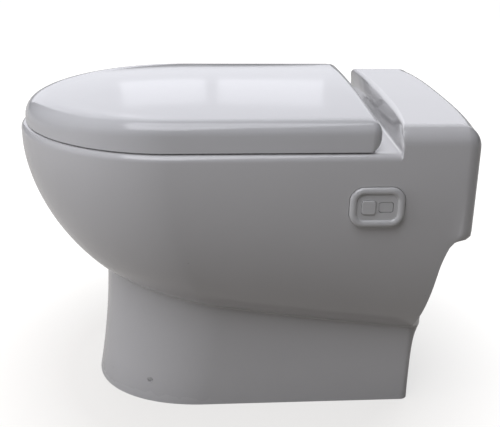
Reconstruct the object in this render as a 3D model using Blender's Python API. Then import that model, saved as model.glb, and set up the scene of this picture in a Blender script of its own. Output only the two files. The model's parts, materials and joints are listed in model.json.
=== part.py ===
"""Compact floor toilet with a macerator pump inside its foot.

Metres, +Z up. The bowl's front faces -Y, the wall is on the +Y side and the flush
pads are on the +X side. The origin is on the floor, under the middle of the body.
"""

import math
from collections import namedtuple

import bmesh
import bpy
from mathutils import Matrix, Vector

QUARTER = math.pi / 2
SIDES = (("right", -1), ("left", 1))

# Whole object
LENGTH = 0.520
WIDTH = 0.360
RIM_HEIGHT = 0.346
DECK_RISE = 0.028       # of the deck over the rim
CLAY = 0.010            # fired wall
SLAB = 0.012            # thickness of the rim's flat top
GAP = 0.0003            # left between pieces that touch
OVERRUN = 0.004         # how far a cutter runs past a face

# Rim, seen from above
RIM_NOSE = 0.188        # from the tip back to where the sides run straight
SIDE_TAPER = 0.004      # what each side draws in by towards the wall
REAR_CORNER = 0.018
RIM_EDGE = 0.008        # rounding of the rim's outer edge
RIM_POWERS = (1.8, 1.95)

# Swell of the bowl, from its shoulder down to the neck
SHOULDER_DROP = 0.011   # from the rim down to where the side starts to turn in
TIP_DROP = 0.010        # and how much lower that is at the tip
TIP_POWER = 1.8
SIDE_POWER = 2.0
TIP_TURN = math.radians(57.0)
SIDE_TURN = math.radians(75.0)
REAR_DROP_shares = (0.0, 0.37, 0.42, 0.49, 0.55, 0.71, 0.80, 0.90, 1.0)
REAR_SETBACK_shares = (0.0, 0.0, 0.36, 0.70, 0.86, 0.96, 1.0, 1.02, 1.0)
REAR_TURN = 0.052       # length of the side over which the swell turns to the rear

# Neck and foot, seen from above
NECK_WIDTH = 0.212
NECK_SETBACK = 0.095    # of the neck's front behind the rim's tip
NECK_NOSE = 0.146
NECK_TAPER = 0.004
NECK_REAR_SETBACK = 0.028
NECK_CORNER = 0.018
NECK_POWERS = (2.5, 2.0)
FOOT_WIDTH = 0.228
FOOT_SETBACK = 0.077
FOOT_NOSE = 0.139
FOOT_TAPER = 0.006
FOOT_REAR_SETBACK = 0.040
FOOT_CORNER = 0.010
FOOT_POWERS = (2.2, 2.1)
FLARE_POWER = 1.7
REAR_FLARE_POWER = 6.0
FOOT_RISE_shares = (0.0, 0.12, 0.35, 0.65, 0.85)

# Height of the neck, which falls towards the wall along a shallow curve
NECK_HEIGHT = 0.1305
NECK_FALL_share = 0.165
NECK_RADIUS = 4.0

# Raised deck behind the lid
DECK_DEPTH = 0.086      # from its front wall's foot to the rear
RIDGE_DEPTH = 0.0768    # from its ridge to the rear, on the centre line
RIDGE_BOW = 0.0145      # how much nearer the lid the ridge comes at the sides
RIDGE_POWER = 3.0       # of the bow, seen from above
RIDGE_EDGE = 0.004
DECK_EDGE = 0.020
DECK_CORNER_EDGE = 0.026
DECK_REAR_EDGE = 0.012
DECK_FILLET = 0.003
STEP_AT_RIM = 0.002     # spread of the stations either side of the wall's foot
STEP_AT_NECK = 0.016

# Bowl
BOWL_WIDTH = 0.244
BOWL_TIP = 0.055        # width of the rim at the tip
BOWL_FROM_WALL = 0.175  # from the bowl's rear edge to the wall
SUMP_FLOOR = 0.110      # height of the sump's floor
BOWL_LIP = 0.005
SUMP_FROM_WALL = 0.230  # from the sump's middle to the wall
BOWL_POWER = 2.15
BOWL_LEVEL_shares = (0.08, 0.25, 0.45, 0.66, 0.83, 0.95, 1.0)
BOWL_WIDTH_shares = (0.985, 0.94, 0.85, 0.64, 0.40, 0.27, 0.20)
BOWL_FRONT_shares = (0.985, 0.95, 0.88, 0.64, 0.36, 0.20, 0.14)
BOWL_BACK_shares = (0.97, 0.90, 0.80, 0.64, 0.56, 0.50, 0.40)
OUTLET_BORE = 0.050
OUTLET_STEP = 0.001     # by which the hole in the bowl is smaller than the horn's bore
OUTLET_HEIGHT = 0.150
OUTLET_FROM_WALL = 0.176  # from the end of the outlet horn to the wall
HORN_WALL = 0.008

# Service opening in the rear of the foot
SERVICE_WIDTH = 0.164
SERVICE_HEIGHT = 0.150
SERVICE_CORNER = 0.020

# Hinges
HINGE_FROM_WALL = 0.1205  # from the hinge pins to the wall
HINGE_HEIGHT = 0.0145   # above the rim
HINGE_SPACING = 0.150
POST_WIDTH = 0.018
POST_DEPTH = 0.014
POST_PLATE = 0.003
POST_PLATE_FRONT = 0.0155
POST_PLATE_REAR = 0.0075
PIN_RADIUS = 0.003
KNUCKLE_GAP = 0.0005
SEAT_LUG_WIDTH = 0.0085
SEAT_LUG_RADIUS = 0.0065
LID_LUG_WIDTH = 0.007
LID_LUG_RADIUS = 0.007
STUD_RADIUS = 0.004
STUD_LENGTH = 0.054
STUD_DEPTH = 0.0077     # of the stud inside its post
STUD_HOLE = 0.006
WASHER_RADIUS = 0.012
WASHER_THICK = 0.004
NUT_RADIUS = 0.008
NUT_HEIGHT = 0.011
WING_REACH = 0.019
WING_THICK = 0.003
WING_HEIGHT = 0.014

# Lid
LID_INSET = 0.004       # of the lid's side inside the rim's
LID_TIP_INSET = 0.006
LID_WALL = 0.004
LID_LIFT = 0.0015       # of the lid's lower edge above the rim
LID_SHOULDER = 0.035    # of the lid's shoulder above the rim
LID_ROUND = 0.016
LID_TIP_MORE_share = 1.2
LID_TIP_TALL_share = 0.75
LID_TIP_SEAM = 0.010
LID_CROWN = 0.007
LID_REAR_ARCH_share = 0.75  # of the crown that is left at the lid's rear edge
LID_REAR_ROUND = 0.013
LID_CORNER = 0.012
LID_CENTRE_FROM_TIP = 0.210  # from the tip to the middle of the lid's crown
CROWN_shares = (0.8, 0.55, 0.28)
NOTCH_RISE = 0.0125     # of the notch round each hinge above the pin
NOTCH_SPARE = 0.001
BUFFER_SPARE = 0.0008   # between a lid buffer and the crown over it

# Seat
SEAT_CLEARANCE = 0.004  # inside the lid
SEAT_LIFT = 0.004       # above the rim
SEAT_THICK = 0.018
SEAT_FROM_WALL = 0.142
SEAT_CORNER = 0.030
HOLE_WIDTH = 0.230
HOLE_TIP = 0.070        # width of the seat and rim together at the tip
HOLE_FROM_WALL = 0.180
HOLE_NOSE = 0.140
HOLE_CORNER = 0.085
HOLE_POWERS = (2.0, 2.0)
SEAT_ACROSS_shares = (0.02, 0.0, 0.0, 0.05, 0.17, 0.45, 0.80, 0.96, 1.0, 0.97)
SEAT_UP_shares = (0.0, 0.10, 0.55, 0.85, 0.97, 1.0, 0.82, 0.50, 0.20, 0.0)
BUFFER_ACROSS_share = 0.45
BUFFER_RADIUS = 0.007
LID_BUFFER_RADIUS = 0.005

# Flush control on the side
PANEL_FROM_WALL = 0.1103
PANEL_DROP = 0.0588     # of the panel's middle below the rim
PANEL_WIDTH = 0.060
PANEL_TALL = 0.0455
PANEL_CORNER = 0.016
PANEL_SEAT = 0.008      # the pocket's floor, in from the rim's side
PANEL_THICK = 0.007
PANEL_BORDER = 0.0085
PANEL_RECESS = 0.0025
PANEL_ROLL = 0.002
POCKET_SPARE = 0.0006
PAD_SIZE = 0.0153
HALF_PAD_WIDTH = 0.0155
HALF_PAD_TALL = 0.0115
PAD_CORNER = 0.003
PAD_SPLIT = 0.0035
FULL_PROUD = 0.0015     # of each pad over the frame's sunk face
HALF_PROUD = -0.0005
PAD_THICK = 0.004
PAD_TRAVEL = 0.003
STEM_SIZE = 0.008
SPIGOT_WALL = 0.0016
SPIGOT_LENGTH = 0.016
LOCK_WIDTH = 0.005
LOCK_BORDER = 0.005
LOCK_BACK = 0.0095      # of its front face behind the pocket's floor
SWITCH_BOX_DEPTH = 0.019
SWITCH_BOX_WALL = 0.002
SWITCH_SIZE = (0.011, 0.009, 0.012)
CABLE_RADIUS = 0.0025

# Floor fixing and chassis
RAIL_OUTER = 0.082
RAIL_FOOT = 0.032
RAIL_THICK = 0.004
RAIL_TALL = 0.040
RAIL_FROM_TIP = 0.146
RAIL_FROM_WALL = 0.060
ANCHOR_HOLE = 0.004
ANCHOR_BACK = 0.016     # of the floor screw's hole behind the rail's end
SCREW_FROM_TIP = 0.152
SCREW_HEIGHT = 0.028
SCREW_RADIUS = 0.0018
SCREW_TAIL = 0.006      # past the rail
SCREW_HEAD = 0.0029
SCREW_HEAD_THICK = 0.002
CAP_RADIUS = 0.0031
CAP_THICK = 0.0015
SCREW_SINK = 0.0055     # of the counterbore's floor under the foot's side
CHASSIS_THICK = 0.005
CHASSIS_FROM_TIP = 0.175

# Drain sleeve
SLEEVE_THICK = 0.005
SLEEVE_LENGTH = 0.025
HORN_GAP = 0.002        # between the horn and the pump's collar
CLAMP_WIDTH = 0.008
CLAMP_THICK = 0.0012

# Macerator
PUMP_WIDTH = 0.100
PUMP_FRONT_FROM_WALL = 0.160
PUMP_REAR_FROM_WALL = 0.076
PUMP_TOP = 0.188
PUMP_WALL = 0.003
COVER_THICK = 0.005
BASKET_RADIUS = 0.032
BASKET_WALL = 0.002
BASKET_TALL = 0.080
BASKET_EYE = 0.014
SLOT_WIDTH = 0.004
SLOT_COUNT = 6
VOLUTE_RADIUS = 0.033
VOLUTE_WALL = 0.004
VOLUTE_TALL = 0.047
DISCHARGE_BORE = 0.022
DISCHARGE_HEIGHT = 0.045
DISCHARGE_WALL = 0.005
MOTOR_RADIUS = 0.038
MOTOR_UNDER_RIM = 0.270   # the motor is this much less tall than the rim is high
MOTOR_CROWN = 0.006
SHAFT_RADIUS = 0.004
SHAFT_IN_MOTOR = 0.028
SEAL_RADIUS = 0.010
BLADE_RADIUS = 0.026
BLADE_THICK = 0.005
BLADE_HUB = 0.009
BLADE_LIFT = 0.016      # above the basket's floor
IMPELLER_RADIUS = 0.025
IMPELLER_THICK = 0.010
VANE_COUNT = 5
VANE_ROOT_share = 0.42
VANE_SWEEP_share = 0.55

# Non-return valve
SOCKET_DEPTH = 0.008
SOCKET_WALL = 0.003
CHAMBER_RADIUS = 0.022
CHAMBER_WALL = 0.003
CHAMBER_LENGTH = 0.029
VALVE_PLATE = 0.003
FLAP_RADIUS = 0.0135
FLAP_THICK = 0.002
FLAP_PIVOT_UP = 0.017   # of the flap's pivot over the bore's middle
FLAP_PIVOT_OUT = 0.0032  # and past the inlet plate
FLAP_BARREL = 0.0026
TRUNNION_RADIUS = 0.0015
FLAP_BARREL_HALF = 0.006
VALVE_LUG_THICK = 0.0034
VALVE_LUG_HALF = 0.0042
SPIGOT_BORE = 0.028
SPIGOT_SHELL = 0.003
REAR_RELIEF = 0.020     # of the pipe ends in front of the wall

# Water supply
WATER_ACROSS = -0.0645
WATER_HEIGHT = 0.109
BLOCK_SIZE = (0.026, 0.040, 0.026)
BLOCK_FROM_WALL = 0.080
BLOCK_BORE = 0.0043
PLUNGER_CLEARANCE = 0.0004
PLUNGER_TALL = 0.030
PLUNGER_TRAVEL = 0.005
COIL_RADIUS = 0.013
COIL_TALL = 0.028
COIL_CROWN = 0.004
INLET_RADIUS = 0.010
INLET_BORE = 0.006
HEX_RADIUS = 0.014
HEX_WIDTH = 0.010
HEX_FROM_WALL = 0.048
BRACKET_THICK = 0.003
BRACKET_SHELF = 0.030
HOSE_RADIUS = 0.006
NOZZLE_DROP = 0.041
NOZZLE_RADIUS = 0.007
NOZZLE_BORE = 0.003
NOZZLE_REACH = 0.008    # into the bowl, past its rear wall's middle
NOZZLE_TAIL = 0.022

# Electrics
BOX_ACROSS = 0.0645
BOX_SIZE = (0.025, 0.070, 0.086)
BOX_FROM_WALL = 0.140
BOX_WALL = 0.002
BOX_LID = 0.003
BOARD_THICK = 0.002
BOARD_SPARE = 0.004
GLAND_HEIGHT = 0.070
GLAND_NECK = 0.005
GLAND_FLANGE = 0.008
GLAND_BORE = 0.003
GLAND_LENGTH = 0.016

# How finely round things are drawn
NOSE_STEPS = 14
BEFORE_shares = (0.0, 0.25, 0.5, 0.75)
AFTER_share = 0.5
CORNER_STEPS = 4
REAR_STEPS = 3
BULGE_STEPS = 11
EDGE_STEPS = 3
RIDGE_STEPS = 14
OVAL_STEPS = 40
TURN_STEPS = 20
FINE_STEPS = 12
CORNER_LEAST = 0.006
CURVE_POINTS = 3
HOSE_SIDES = 8

# Places that follow from the sizes above
FRONT_Y = -LENGTH / 2
REAR_Y = LENGTH / 2
HALF = WIDTH / 2
DECK_HEIGHT = RIM_HEIGHT + DECK_RISE
BOWL_REAR = REAR_Y - BOWL_FROM_WALL
SUMP_BACK = REAR_Y - SUMP_FROM_WALL
OUTLET_REACH = REAR_Y - OUTLET_FROM_WALL
HINGE_BACK = REAR_Y - HINGE_FROM_WALL
SEAT_REAR = REAR_Y - SEAT_FROM_WALL
HOLE_REAR = REAR_Y - HOLE_FROM_WALL
PANEL_BACK = REAR_Y - PANEL_FROM_WALL
RAIL_REAR = REAR_Y - RAIL_FROM_WALL
PUMP_FRONT = REAR_Y - PUMP_FRONT_FROM_WALL
PUMP_REAR = REAR_Y - PUMP_REAR_FROM_WALL
BLOCK_REAR = REAR_Y - BLOCK_FROM_WALL
HEX_BACK = REAR_Y - HEX_FROM_WALL
BOX_FRONT = REAR_Y - BOX_FROM_WALL
RAIL_FRONT = FRONT_Y + RAIL_FROM_TIP
SCREW_BACK = FRONT_Y + SCREW_FROM_TIP
CHASSIS_FRONT = FRONT_Y + CHASSIS_FROM_TIP
LID_CENTRE = FRONT_Y + LID_CENTRE_FROM_TIP
PANEL_HEIGHT = RIM_HEIGHT - PANEL_DROP
NOZZLE_HEIGHT = RIM_HEIGHT - NOZZLE_DROP
BOWL_DEPTH = RIM_HEIGHT - SUMP_FLOOR
MOTOR_TALL = RIM_HEIGHT - MOTOR_UNDER_RIM
DECK_FOOT_Y = REAR_Y - DECK_DEPTH
HINGE_Z = RIM_HEIGHT + HINGE_HEIGHT
LID_REAR = HINGE_BACK + LID_REAR_ROUND
LID_TOP = RIM_HEIGHT + LID_SHOULDER
LID_BOTTOM = HINGE_Z - LID_REAR_ROUND
SEAT_BOTTOM = RIM_HEIGHT + SEAT_LIFT
SEAT_TOP = SEAT_BOTTOM + SEAT_THICK
SLAB_UNDER = RIM_HEIGHT - SLAB
PANEL_FLOOR = HALF - PANEL_SEAT
PANEL_BACK_FACE = PANEL_FLOOR + GAP
PANEL_FACE = PANEL_BACK_FACE + PANEL_THICK
SPIGOT_END = PANEL_BACK_FACE - SPIGOT_LENGTH
CHASSIS_LOW = RAIL_THICK + GAP
CHASSIS_TOP = CHASSIS_LOW + CHASSIS_THICK
PUMP_FLOOR = CHASSIS_TOP + GAP
PUMP_BACK = (PUMP_FRONT + PUMP_REAR) / 2
COVER_LOW = PUMP_TOP + GAP
COVER_TOP = COVER_LOW + COVER_THICK
MOTOR_LOW = COVER_TOP + GAP
HORN_RADIUS = OUTLET_BORE / 2 + HORN_WALL
PIPE_END = REAR_Y - REAR_RELIEF
RIDGE_Y = REAR_Y - RIDGE_DEPTH

Plan = namedtuple("Plan", "half taper tip nose_end rear corner powers breaks")
Trait = namedtuple("Trait", "front rear deck")


def step_breaks(nose_end, rear, corner, spread):
    """Shares of a straight side where its columns stand, with two at the deck's front wall."""
    run = rear - corner - nose_end
    before = (DECK_FOOT_Y - spread / 2 - nose_end) / run
    after = (DECK_FOOT_Y + spread / 2 - nose_end) / run
    breaks = [before * share for share in BEFORE_shares]
    return tuple(breaks + [before, after, after + (1 - after) * AFTER_share, 1.0])


def body_plan(width, setback, nose, taper, rear_setback, corner, powers, spread):
    """A plan line of the ceramic body, with the same columns as every other one."""
    tip = FRONT_Y + setback
    nose_end = tip + nose
    rear = REAR_Y - rear_setback
    breaks = step_breaks(nose_end, rear, corner, spread)
    return Plan(width / 2, taper, tip, nose_end, rear, corner, powers, breaks)


RIM_PLAN = body_plan(WIDTH, 0.0, RIM_NOSE, SIDE_TAPER, 0.0, REAR_CORNER, RIM_POWERS, STEP_AT_RIM)
NECK_PLAN = body_plan(
    NECK_WIDTH, NECK_SETBACK, NECK_NOSE, NECK_TAPER, NECK_REAR_SETBACK, NECK_CORNER,
    NECK_POWERS, STEP_AT_NECK,
)
FOOT_PLAN = body_plan(
    FOOT_WIDTH, FOOT_SETBACK, FOOT_NOSE, FOOT_TAPER, FOOT_REAR_SETBACK, FOOT_CORNER,
    FOOT_POWERS, STEP_AT_NECK,
)
EVEN_BREAKS = tuple(BEFORE_shares) + (1.0,)
LID_PLAN = Plan(
    HALF - LID_INSET, SIDE_TAPER / 2, FRONT_Y + LID_TIP_INSET, FRONT_Y + RIM_NOSE, LID_REAR,
    LID_CORNER, RIM_POWERS, EVEN_BREAKS,
)
SEAT_INSET = LID_WALL + SEAT_CLEARANCE
SEAT_PLAN = Plan(
    LID_PLAN.half - SEAT_INSET, SIDE_TAPER / 2, LID_PLAN.tip + SEAT_INSET, LID_PLAN.nose_end,
    SEAT_REAR, SEAT_CORNER, RIM_POWERS, EVEN_BREAKS,
)
HOLE_PLAN = Plan(
    HOLE_WIDTH / 2, 0.0, FRONT_Y + HOLE_TIP, FRONT_Y + HOLE_TIP + HOLE_NOSE, HOLE_REAR,
    HOLE_CORNER, HOLE_POWERS, EVEN_BREAKS,
)


def outline(plan, inset=0.0):
    """A closed plan line from the tip round by +X, the wall side and -X, as (x, y) pairs."""
    half = plan.half - inset
    tip = plan.tip + inset
    rear = plan.rear - inset
    corner = max(plan.corner - inset, CORNER_LEAST)
    points = []
    for step in range(NOSE_STEPS):
        turn = QUARTER * step / NOSE_STEPS
        across = half * math.sin(turn) ** (2 / plan.powers[0])
        along = (plan.nose_end - tip) * math.cos(turn) ** (2 / plan.powers[1])
        points.append((across, plan.nose_end - along))
    for share in plan.breaks:
        points.append((half - plan.taper * share,
                       plan.nose_end + (rear - corner - plan.nose_end) * share))
    rear_half = half - plan.taper
    for step in range(1, CORNER_STEPS + 1):
        turn = QUARTER * step / CORNER_STEPS
        points.append((rear_half - corner + corner * math.cos(turn),
                       rear - corner + corner * math.sin(turn)))
    for step in range(1, REAR_STEPS + 1):
        points.append(((rear_half - corner) * (1 - step / REAR_STEPS), rear))
    return points + [(-x, y) for x, y in reversed(points[1:-1])]


def column_traits(before, after):
    """What each column of an outline belongs to: the nose, the side, the deck, a corner."""
    traits = []
    for step in range(NOSE_STEPS):
        traits.append(Trait(math.cos(QUARTER * step / NOSE_STEPS), 0.0, False))
    traits += [Trait(0.0, 0.0, False)] * before
    traits += [Trait(0.0, 0.0, True)] * after
    for step in range(1, CORNER_STEPS + 1):
        traits.append(Trait(0.0, step / CORNER_STEPS, True))
    traits += [Trait(0.0, 1.0, True)] * REAR_STEPS
    return traits + list(reversed(traits[1:-1]))


BODY_TRAITS = column_traits(len(BEFORE_shares) + 1, 3)
SHELL_TRAITS = column_traits(len(EVEN_BREAKS), 0)


def read_table(value, places, results):
    """The result at a value, read straight between a table's places."""
    for low, high, first, second in zip(places, places[1:], results, results[1:]):
        if value <= high:
            return first + (second - first) * (value - low) / (high - low)
    return results[-1]


def clear_scene():
    for old in list(bpy.data.objects):
        bpy.data.objects.remove(old, do_unlink=True)


def finish_material(name, colour, roughness, metallic=0.0):
    material = bpy.data.materials.new(name)
    material.use_nodes = True
    shader = material.node_tree.nodes["Principled BSDF"]
    shader.inputs["Base Color"].default_value = (*colour, 1.0)
    shader.inputs["Roughness"].default_value = roughness
    shader.inputs["Metallic"].default_value = metallic
    material.diffuse_color = (*colour, 1.0)
    return material


GLAZE = ((0.80, 0.80, 0.79), 0.10)
SEAT_PLASTIC = ((0.84, 0.84, 0.83), 0.16)
BUFFER_RUBBER = ((0.70, 0.71, 0.71), 0.55)
PAD_PLASTIC = ((0.76, 0.77, 0.77), 0.22)
DARK_RUBBER = ((0.05, 0.05, 0.05), 0.70)
GREY_PLASTIC = ((0.36, 0.38, 0.40), 0.50)
BLACK_PLASTIC = ((0.06, 0.06, 0.07), 0.50)
WHITE_PLASTIC = ((0.72, 0.72, 0.70), 0.45)
GREEN_BOARD = ((0.05, 0.22, 0.10), 0.45)
STEEL = ((0.60, 0.60, 0.61), 0.32, 1.0)
ZINC = ((0.66, 0.67, 0.68), 0.40, 1.0)
BRASS = ((0.72, 0.55, 0.28), 0.30, 1.0)


def place(name, bm, finish=None, origin=(0.0, 0.0, 0.0), smooth=True):
    """Turn a finished bmesh into a named object whose origin is at the given place."""
    bmesh.ops.recalc_face_normals(bm, faces=bm.faces)
    bmesh.ops.translate(bm, verts=bm.verts, vec=-Vector(origin))
    mesh = bpy.data.meshes.new(name)
    bm.to_mesh(mesh)
    bm.free()
    thing = bpy.data.objects.new(name, mesh)
    thing.location = origin
    bpy.context.scene.collection.objects.link(thing)
    if finish:
        mesh.materials.append(finish_material(name, *finish))
    if smooth:
        mesh.shade_smooth()
        mesh.set_sharp_from_angle(angle=math.radians(35))
    return thing


def combine(target, name, bm, operation="DIFFERENCE"):
    """Cut a shape out of an object, or add it, with a Boolean that stays live."""
    tool = place(name, bm, smooth=False)
    tool.hide_render = True
    tool.display_type = "WIRE"
    modifier = target.modifiers.new(name, "BOOLEAN")
    modifier.object = tool
    modifier.operation = operation
    modifier.solver = "EXACT"
    return tool


def skin(bm, rings, close=True):
    """Faces between rings of equal count, lowest first, with flat ends."""
    rows = [[bm.verts.new(point) for point in ring] for ring in rings]
    for low, high in zip(rows, rows[1:]):
        for i in range(len(low)):
            j = (i + 1) % len(low)
            bm.faces.new((low[i], low[j], high[j], high[i]))
    if close:
        bm.faces.new(list(reversed(rows[0])))
        bm.faces.new(rows[-1])
    return rows


def box(bm, low, high):
    """A block between two corners."""
    centre = (Vector(low) + Vector(high)) / 2
    size = Vector(high) - Vector(low)
    matrix = Matrix.Translation(centre) @ Matrix.Diagonal((*size, 1.0))
    bmesh.ops.create_cube(bm, size=1.0, matrix=matrix)
    return bm


def open_box(bm, low, high, wall, floor, open_axis, open_sign):
    """A block hollowed from one side, with its own wall and floor thickness."""
    box(bm, low, high)
    lid = max(bm.faces, key=lambda face: face.calc_center_median()[open_axis] * open_sign)
    bmesh.ops.inset_region(bm, faces=[lid], thickness=wall, use_even_offset=True)
    depth = high[open_axis] - low[open_axis] - floor
    push = Vector((0.0, 0.0, 0.0))
    push[open_axis] = -depth * open_sign
    extruded = bmesh.ops.extrude_face_region(bm, geom=[lid])
    moved = [item for item in extruded["geom"] if isinstance(item, bmesh.types.BMVert)]
    bmesh.ops.translate(bm, verts=moved, vec=push)
    bmesh.ops.delete(bm, geom=[lid], context="FACES_ONLY")
    return bm


def axis_frame(axis):
    """Three unit vectors, the last along the named axis, turning the right-hand way."""
    along = {"X": Vector((1, 0, 0)), "Y": Vector((0, 1, 0)), "Z": Vector((0, 0, 1))}[axis]
    first = {"X": Vector((0, 1, 0)), "Y": Vector((0, 0, 1)), "Z": Vector((1, 0, 0))}[axis]
    return first, along.cross(first), along


def turned(bm, profile, centre, axis, steps=TURN_STEPS):
    """A turned solid. The profile's (radius, distance) points run out, up and back in."""
    first, second, along = axis_frame(axis)
    base = Vector(centre)

    def ring(radius, distance):
        turns = [2 * math.pi * step / steps for step in range(steps)]
        return [bm.verts.new(base + along * distance
                             + first * radius * math.cos(turn)
                             + second * radius * math.sin(turn)) for turn in turns]

    solid = profile[0][0] == 0
    points = profile[1:-1] if solid else profile
    rows = [ring(*point) for point in points]
    pairs = list(zip(rows, rows[1:]))
    if not solid:
        pairs.append((rows[-1], rows[0]))
    for low, high in pairs:
        for i in range(steps):
            j = (i + 1) % steps
            bm.faces.new((low[i], low[j], high[j], high[i]))
    if solid:
        for row, point, ahead in ((rows[0], profile[0], True), (rows[-1], profile[-1], False)):
            pole = bm.verts.new(base + along * point[1])
            for i in range(steps):
                j = (i + 1) % steps
                order = (row[j], row[i], pole) if ahead else (row[i], row[j], pole)
                bm.faces.new(order)
    return bm


def cylinder(bm, radius, centre, axis, start, end, steps=TURN_STEPS):
    """A plain round bar along an axis, between two distances from its centre."""
    return turned(bm, ((0, start), (radius, start), (radius, end), (0, end)), centre, axis, steps)


def tube(bm, inner, outer, centre, axis, start, end, steps=TURN_STEPS):
    """A plain round tube."""
    profile = ((inner, start), (outer, start), (outer, end), (inner, end))
    return turned(bm, profile, centre, axis, steps)


def prism(bm, points, axis, start, end):
    """A flat outline, given in the two directions across an axis, made thick along it."""
    first, second, along = axis_frame(axis)
    rings = [[first * a + second * b + along * place_along for a, b in points]
             for place_along in (start, end)]
    skin(bm, rings)
    return bm


def rounded_rectangle(middle, width, height, corner, steps=4):
    """Outline points of a rectangle with round corners, counter-clockwise."""
    points = []
    corners = ((1, 1, 0.0), (-1, 1, QUARTER), (-1, -1, 2 * QUARTER), (1, -1, 3 * QUARTER))
    for side, rise, start in corners:
        for step in range(steps + 1):
            turn = start + QUARTER * step / steps
            points.append((middle[0] + side * (width / 2 - corner) + corner * math.cos(turn),
                           middle[1] + rise * (height / 2 - corner) + corner * math.sin(turn)))
    return points


def hose(name, route, radius, finish):
    """A round hose along a smooth curve through its route's points."""
    points = smooth_route([Vector(point) for point in route])
    heading = (points[1] - points[0]).normalized()
    across = heading.orthogonal().normalized()
    rings = []
    for i, point in enumerate(points):
        before = points[max(i - 1, 0)]
        after = points[min(i + 1, len(points) - 1)]
        new_heading = (after - before).normalized()
        across = heading.rotation_difference(new_heading) @ across
        heading = new_heading
        up = heading.cross(across)
        turns = [2 * math.pi * step / HOSE_SIDES for step in range(HOSE_SIDES)]
        rings.append([point + (across * math.cos(turn) + up * math.sin(turn)) * radius
                      for turn in turns])
    bm = bmesh.new()
    skin(bm, rings)
    return place(name, bm, finish)


def smooth_route(points):
    """Points along a curve that passes through every point of a route."""
    padded = [points[0] * 2 - points[1]] + points + [points[-1] * 2 - points[-2]]
    result = []
    for a, b, c, d in zip(padded, padded[1:], padded[2:], padded[3:]):
        for step in range(CURVE_POINTS):
            t = step / CURVE_POINTS
            result.append(((b * 2) + (c - a) * t + (a * 2 - b * 5 + c * 4 - d) * t * t
                           + (b * 3 - a - c * 3 + d) * t * t * t) / 2)
    return result + [points[-1]]


def neck_height(y):
    """Height of the line where the bowl's swell meets the foot."""
    return NECK_HEIGHT - NECK_FALL_share * y + y * y / (2 * NECK_RADIUS)


def lower_rings(inset, shoulder):
    """Rings of the ceramic body from the floor up to the bowl's shoulder."""
    rim = outline(RIM_PLAN, inset)
    neck = outline(NECK_PLAN, inset)
    foot = outline(FOOT_PLAN, inset)
    turning = [max(0.0, 1 - (REAR_Y - y) / REAR_TURN) ** 2 for _, y in outline(RIM_PLAN)]
    rings = []
    for share in FOOT_RISE_shares:
        side_flare = (1 - share) ** FLARE_POWER
        rear_flare = 1 - share ** REAR_FLARE_POWER
        ring = []
        for (nx, ny), (fx, fy), trait in zip(neck, foot, BODY_TRAITS):
            flare = side_flare + (rear_flare - side_flare) * trait.rear
            ring.append((nx + (fx - nx) * side_flare, ny + (fy - ny) * flare,
                         (neck_height(ny) + inset) * share))
        rings.append(ring)
    for step in range(BULGE_STEPS, -1, -1):
        ring = []
        for (rx, ry), (nx, ny), near_rear, trait in zip(rim, neck, turning, BODY_TRAITS):
            power = SIDE_POWER + (TIP_POWER - SIDE_POWER) * trait.front
            last = SIDE_TURN + (TIP_TURN - SIDE_TURN) * trait.front
            turn = last * step / BULGE_STEPS
            down = (math.sin(turn) / math.sin(last)) ** (2 / power)
            inward = (1 - math.cos(turn) ** (2 / power)) / (1 - math.cos(last) ** (2 / power))
            rear_inward = read_table(down, REAR_DROP_shares, REAR_SETBACK_shares)
            across = inward + (rear_inward - inward) * math.sqrt(trait.rear)
            along = inward + (rear_inward - inward) * near_rear
            high = shoulder - TIP_DROP * trait.front
            low = neck_height(ny) + inset
            ring.append((rx + (nx - rx) * across, ry + (ny - ry) * along,
                         high + (low - high) * down))
        rings.append(ring)
    return rings


def inset_ring(plan, insets):
    """An outline whose columns are each drawn in by their own distance."""
    return [outline(plan, inset)[column] for column, inset in enumerate(insets)]


def deck_edge(x, trait):
    """Rounding of the deck's top edge, largest at the corners and least at the rear."""
    if trait.rear < 1:
        return DECK_EDGE + (DECK_CORNER_EDGE - DECK_EDGE) * trait.rear
    out = abs(x) / (RIM_PLAN.half - RIM_PLAN.taper - RIM_PLAN.corner)
    return DECK_REAR_EDGE + (DECK_CORNER_EDGE - DECK_REAR_EDGE) * out ** 3


def edge_ring(turn):
    """One ring of the rounded top edge, low round the rim and high round the deck."""
    edges = [deck_edge(x, trait) if trait.deck else RIM_EDGE
             for (x, _), trait in zip(outline(RIM_PLAN), BODY_TRAITS)]
    ring = []
    plan = inset_ring(RIM_PLAN, [edge * (1 - math.cos(turn)) for edge in edges])
    for (x, y), edge, trait in zip(plan, edges, BODY_TRAITS):
        height = DECK_HEIGHT if trait.deck else RIM_HEIGHT
        ring.append((x, y, height - edge * (1 - math.sin(turn))))
    return ring


def ridge_line(x):
    """The ridge of the deck's front wall, bowed towards the lid at its ends."""
    return RIDGE_Y - RIDGE_BOW * (abs(x) / HALF) ** RIDGE_POWER


def wall_rows():
    """Height and setback of each row of the deck's front wall, foot first."""
    rows = [(RIM_HEIGHT, 0.0, 0.0), (RIM_HEIGHT + DECK_FILLET, 0.1, 0.0)]
    for step in range(EDGE_STEPS + 1):
        turn = QUARTER * step / EDGE_STEPS
        rows.append((DECK_HEIGHT - RIDGE_EDGE * (1 - math.sin(turn)), 1.0,
                     RIDGE_EDGE * (1 - math.cos(turn))))
    return rows


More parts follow.
